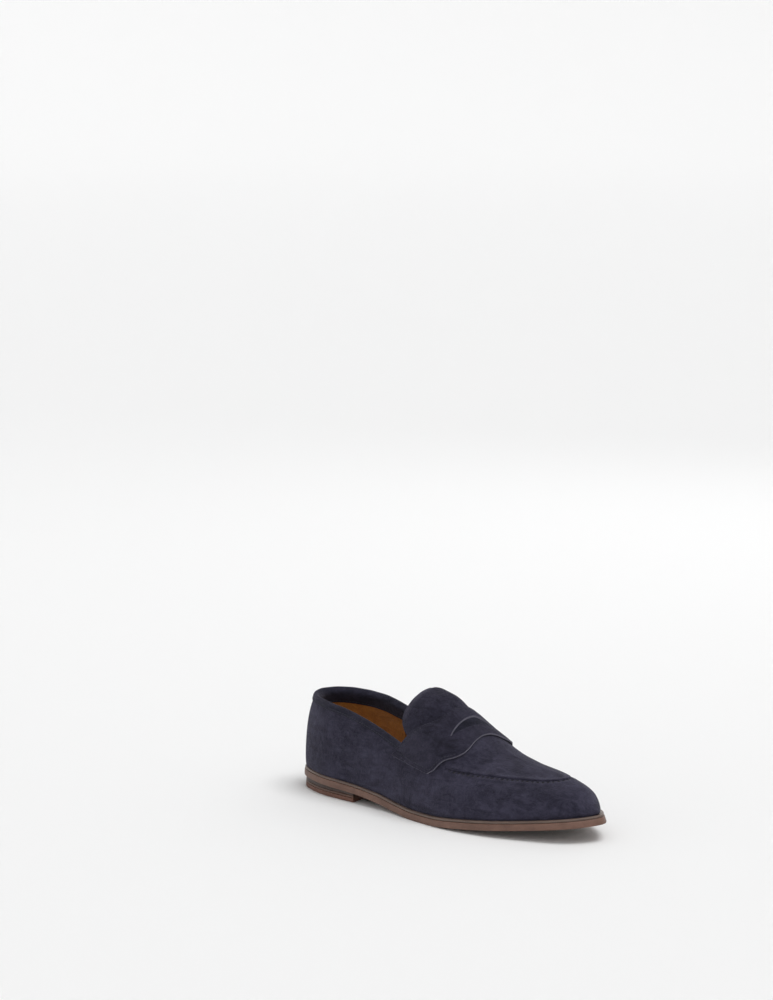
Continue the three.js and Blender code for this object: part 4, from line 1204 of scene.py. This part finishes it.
def make_back_stay():
    """Strip over the back seam, stitched down both sides."""
    reach, seam = 0.0125, 0.76
    s = S_BACK + np.concatenate([[-1, -0.97, -0.93], np.linspace(-0.88, 0.88, 22), [0.93, 0.97, 1]]) * reach
    e, g = edge(s), rate(s)
    low, high = girth_at(s, 0.6), e - 5.5 / g
    f = np.concatenate([np.linspace(0, 0.96, 50), [0.975, 0.99, 1]])[:, None]
    t = low + (high - low) * f
    furrow = -0.3 * bump(np.abs(s - S_BACK) / reach, seam, 0.07)
    points, faces = shell(skin(s[None], t, 1.1 + furrow[None]), skin(s[None], t, 0.1))
    rim = np.zeros(t.shape)
    rim[:, [0, -1]] = 1
    rim[[0, -1]] = 1
    build("back_stay_suede", points, faces, CUT_SUEDE, ["back_stay"], marks=rim_marks(rim), bevel=0.2)
    for side, label in ((1, "outer"), (-1, "inner")):
        here = np.full(80, S_BACK + side * reach * seam)
        low, high = girth_at(here, 1.6), edge(here) - 6.2 / rate(here)
        climb = low + (high - low) * np.linspace(0, 1, 80)
        sewn(f"back_stay_stitches_{label}", here, climb, 0.85, NAVY_THREAD, [f"back_stay_thread_{label}"])


# ---------- inside ----------
def lining(name, node, s, top, d, finish, rows=26, bevel=0.0):
    """Sheet of the lining between the insole and a top line, between two depths."""
    low = girth_at(s, 2.4)
    f = np.linspace(0, 1, rows)[:, None]
    t = low + (top - low) * f
    points, faces = shell(skin(s[None], t, d[0]), skin(s[None], t, d[1]))
    return build(name, points, faces, finish, [node], bevel=bevel)


def make_linings():
    """Vamp and quarter linings in leather, and a suede grip round the heel with a stitched front edge."""
    vamp = over_toe(140.0, 2, 130)
    lining("vamp_lining_leather", "vamp_lining", vamp, np.ones_like(vamp), (-3.4, -4.3), LINING, 30)
    for side, label in ((-1, "outer"), (1, "inner")):
        quarter = np.linspace(around(side, 60.0), around(side, 150.0), 90)
        node = f"quarter_lining_{label}"
        lining(f"{node}_leather", node, quarter, edge(quarter) - 0.004, (-3.6, -4.55), LINING)
    grip = np.linspace(float(around(1, 74.0)) - 1, float(around(-1, 74.0)), 220)
    lining("heel_grip_suede", "heel_grip_lining", grip, edge(grip) - 0.004, (-3.9, -5.0), GRIP, 30, 0.2)
    for side, label in ((-1, "outer"), (1, "inner")):
        here = np.full(60, float(around(side, 71.5)))
        t = np.linspace(0.12, float(edge(here[:1])[0]) - 0.07, 60)
        sewn(f"grip_stitches_{label}", here, t, -5.0, TAN_THREAD, size=(2.0, 0.28),
             dip=0.3, lift=0.05, out=-1.0)


def make_sock():
    """Sock liner: a leather sheet over the insole, cupped at its rim and raised over the heel pad."""
    raised = lambda q: 2.3 * (1 - smooth(q, 62, 100))
    base = lambda q: seat(q) + 4.25
    p = foot(COLUMNS)[0][:, 0]
    room = 4.4 + 12.6 * smooth(p, 225, 290) + welt(p)
    low = lambda q, f=0.0: base(q) + raised(q)
    high = lambda q, f=0.0: low(q) + 1.1 + 0.5 * (1 - f) ** 4
    top = [plan_rows(room + 1.4, lambda q: high(q, 0.1)), plan_rows(room + 0.35, lambda q: high(q, 0.0)),
           plan_rows(room, lambda q: high(q, 0.0) - 0.3)]
    side = [plan_rows(room, lambda q: low(q) + 0.3), plan_rows(room + 0.4, low)]
    points, faces, _, _ = plate(top, side, 14, low, high)
    build("sock_liner_leather", points, faces, SOCK, ["sock_liner"])


def make_heel_pad():
    """Foam pad under the heel of the sock liner: a low dome over the heel outline."""
    base, centre, outline = 4.1, np.array([38.0, -1.0]), heel_outline(13.0)
    section = [(1, 0), (0.5, 0), (0.02, 0), (0, 0.25), (0.01, 0.6), (0.05, 0.9), (0.12, 1.15), (0.3, 1.6),
               (0.6, 1.95), (0.85, 2.05), (1, 2.1)]
    plans = [(outline * (1 - f) + centre * f, rise) for f, rise in section]
    grid = np.stack([lifted(q, seat(q[:, 0]) + base + rise) for q, rise in plans])
    pad = build("heel_pad_foam", grid.reshape(-1, 3), quads_of(*grid.shape[:2], wrap_columns=True),
                foam("pad_foam"), ["heel_pad"])


def finish_frame_nodes():
    """Materials for the hidden working pieces that keep their frame shape."""
    finishes = {
        "insole_board": board("insole_board_fibre", rgb(176, 146, 106), rgb(132, 102, 70)),
        "cork_filler": cork("cork"),
        "shank": metal("spring_steel", rgb(150, 153, 158), 0.3),
        "heel_counter": board("counter_fibre", rgb(204, 180, 140), rgb(168, 140, 100), 700),
        "toe_puff": board("puff_fibre", rgb(208, 188, 152), rgb(176, 150, 112), 700),
    }
    brass = metal("brass_nail", rgb(178, 150, 92), 0.32)
    finishes.update({f"heel_nail_{k}": brass for k in range(1, 6)})
    for node, finish in finishes.items():
        materials = frame["nodes"][node].data.materials
        if len(materials):
            materials[0] = finish
        else:
            materials.append(finish)


set_camera()
set_stage()
make_outsole()
make_midsole()
make_heel()
make_wall()
make_apron()
make_strap()
make_tongue()
make_collar()
make_back_stay()
make_linings()
make_sock()
make_heel_pad()
finish_frame_nodes()
for thing in list(bpy.context.scene.objects):
    if thing.type == "MESH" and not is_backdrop(thing) and not body_of(thing):
        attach(thing, "shoe")
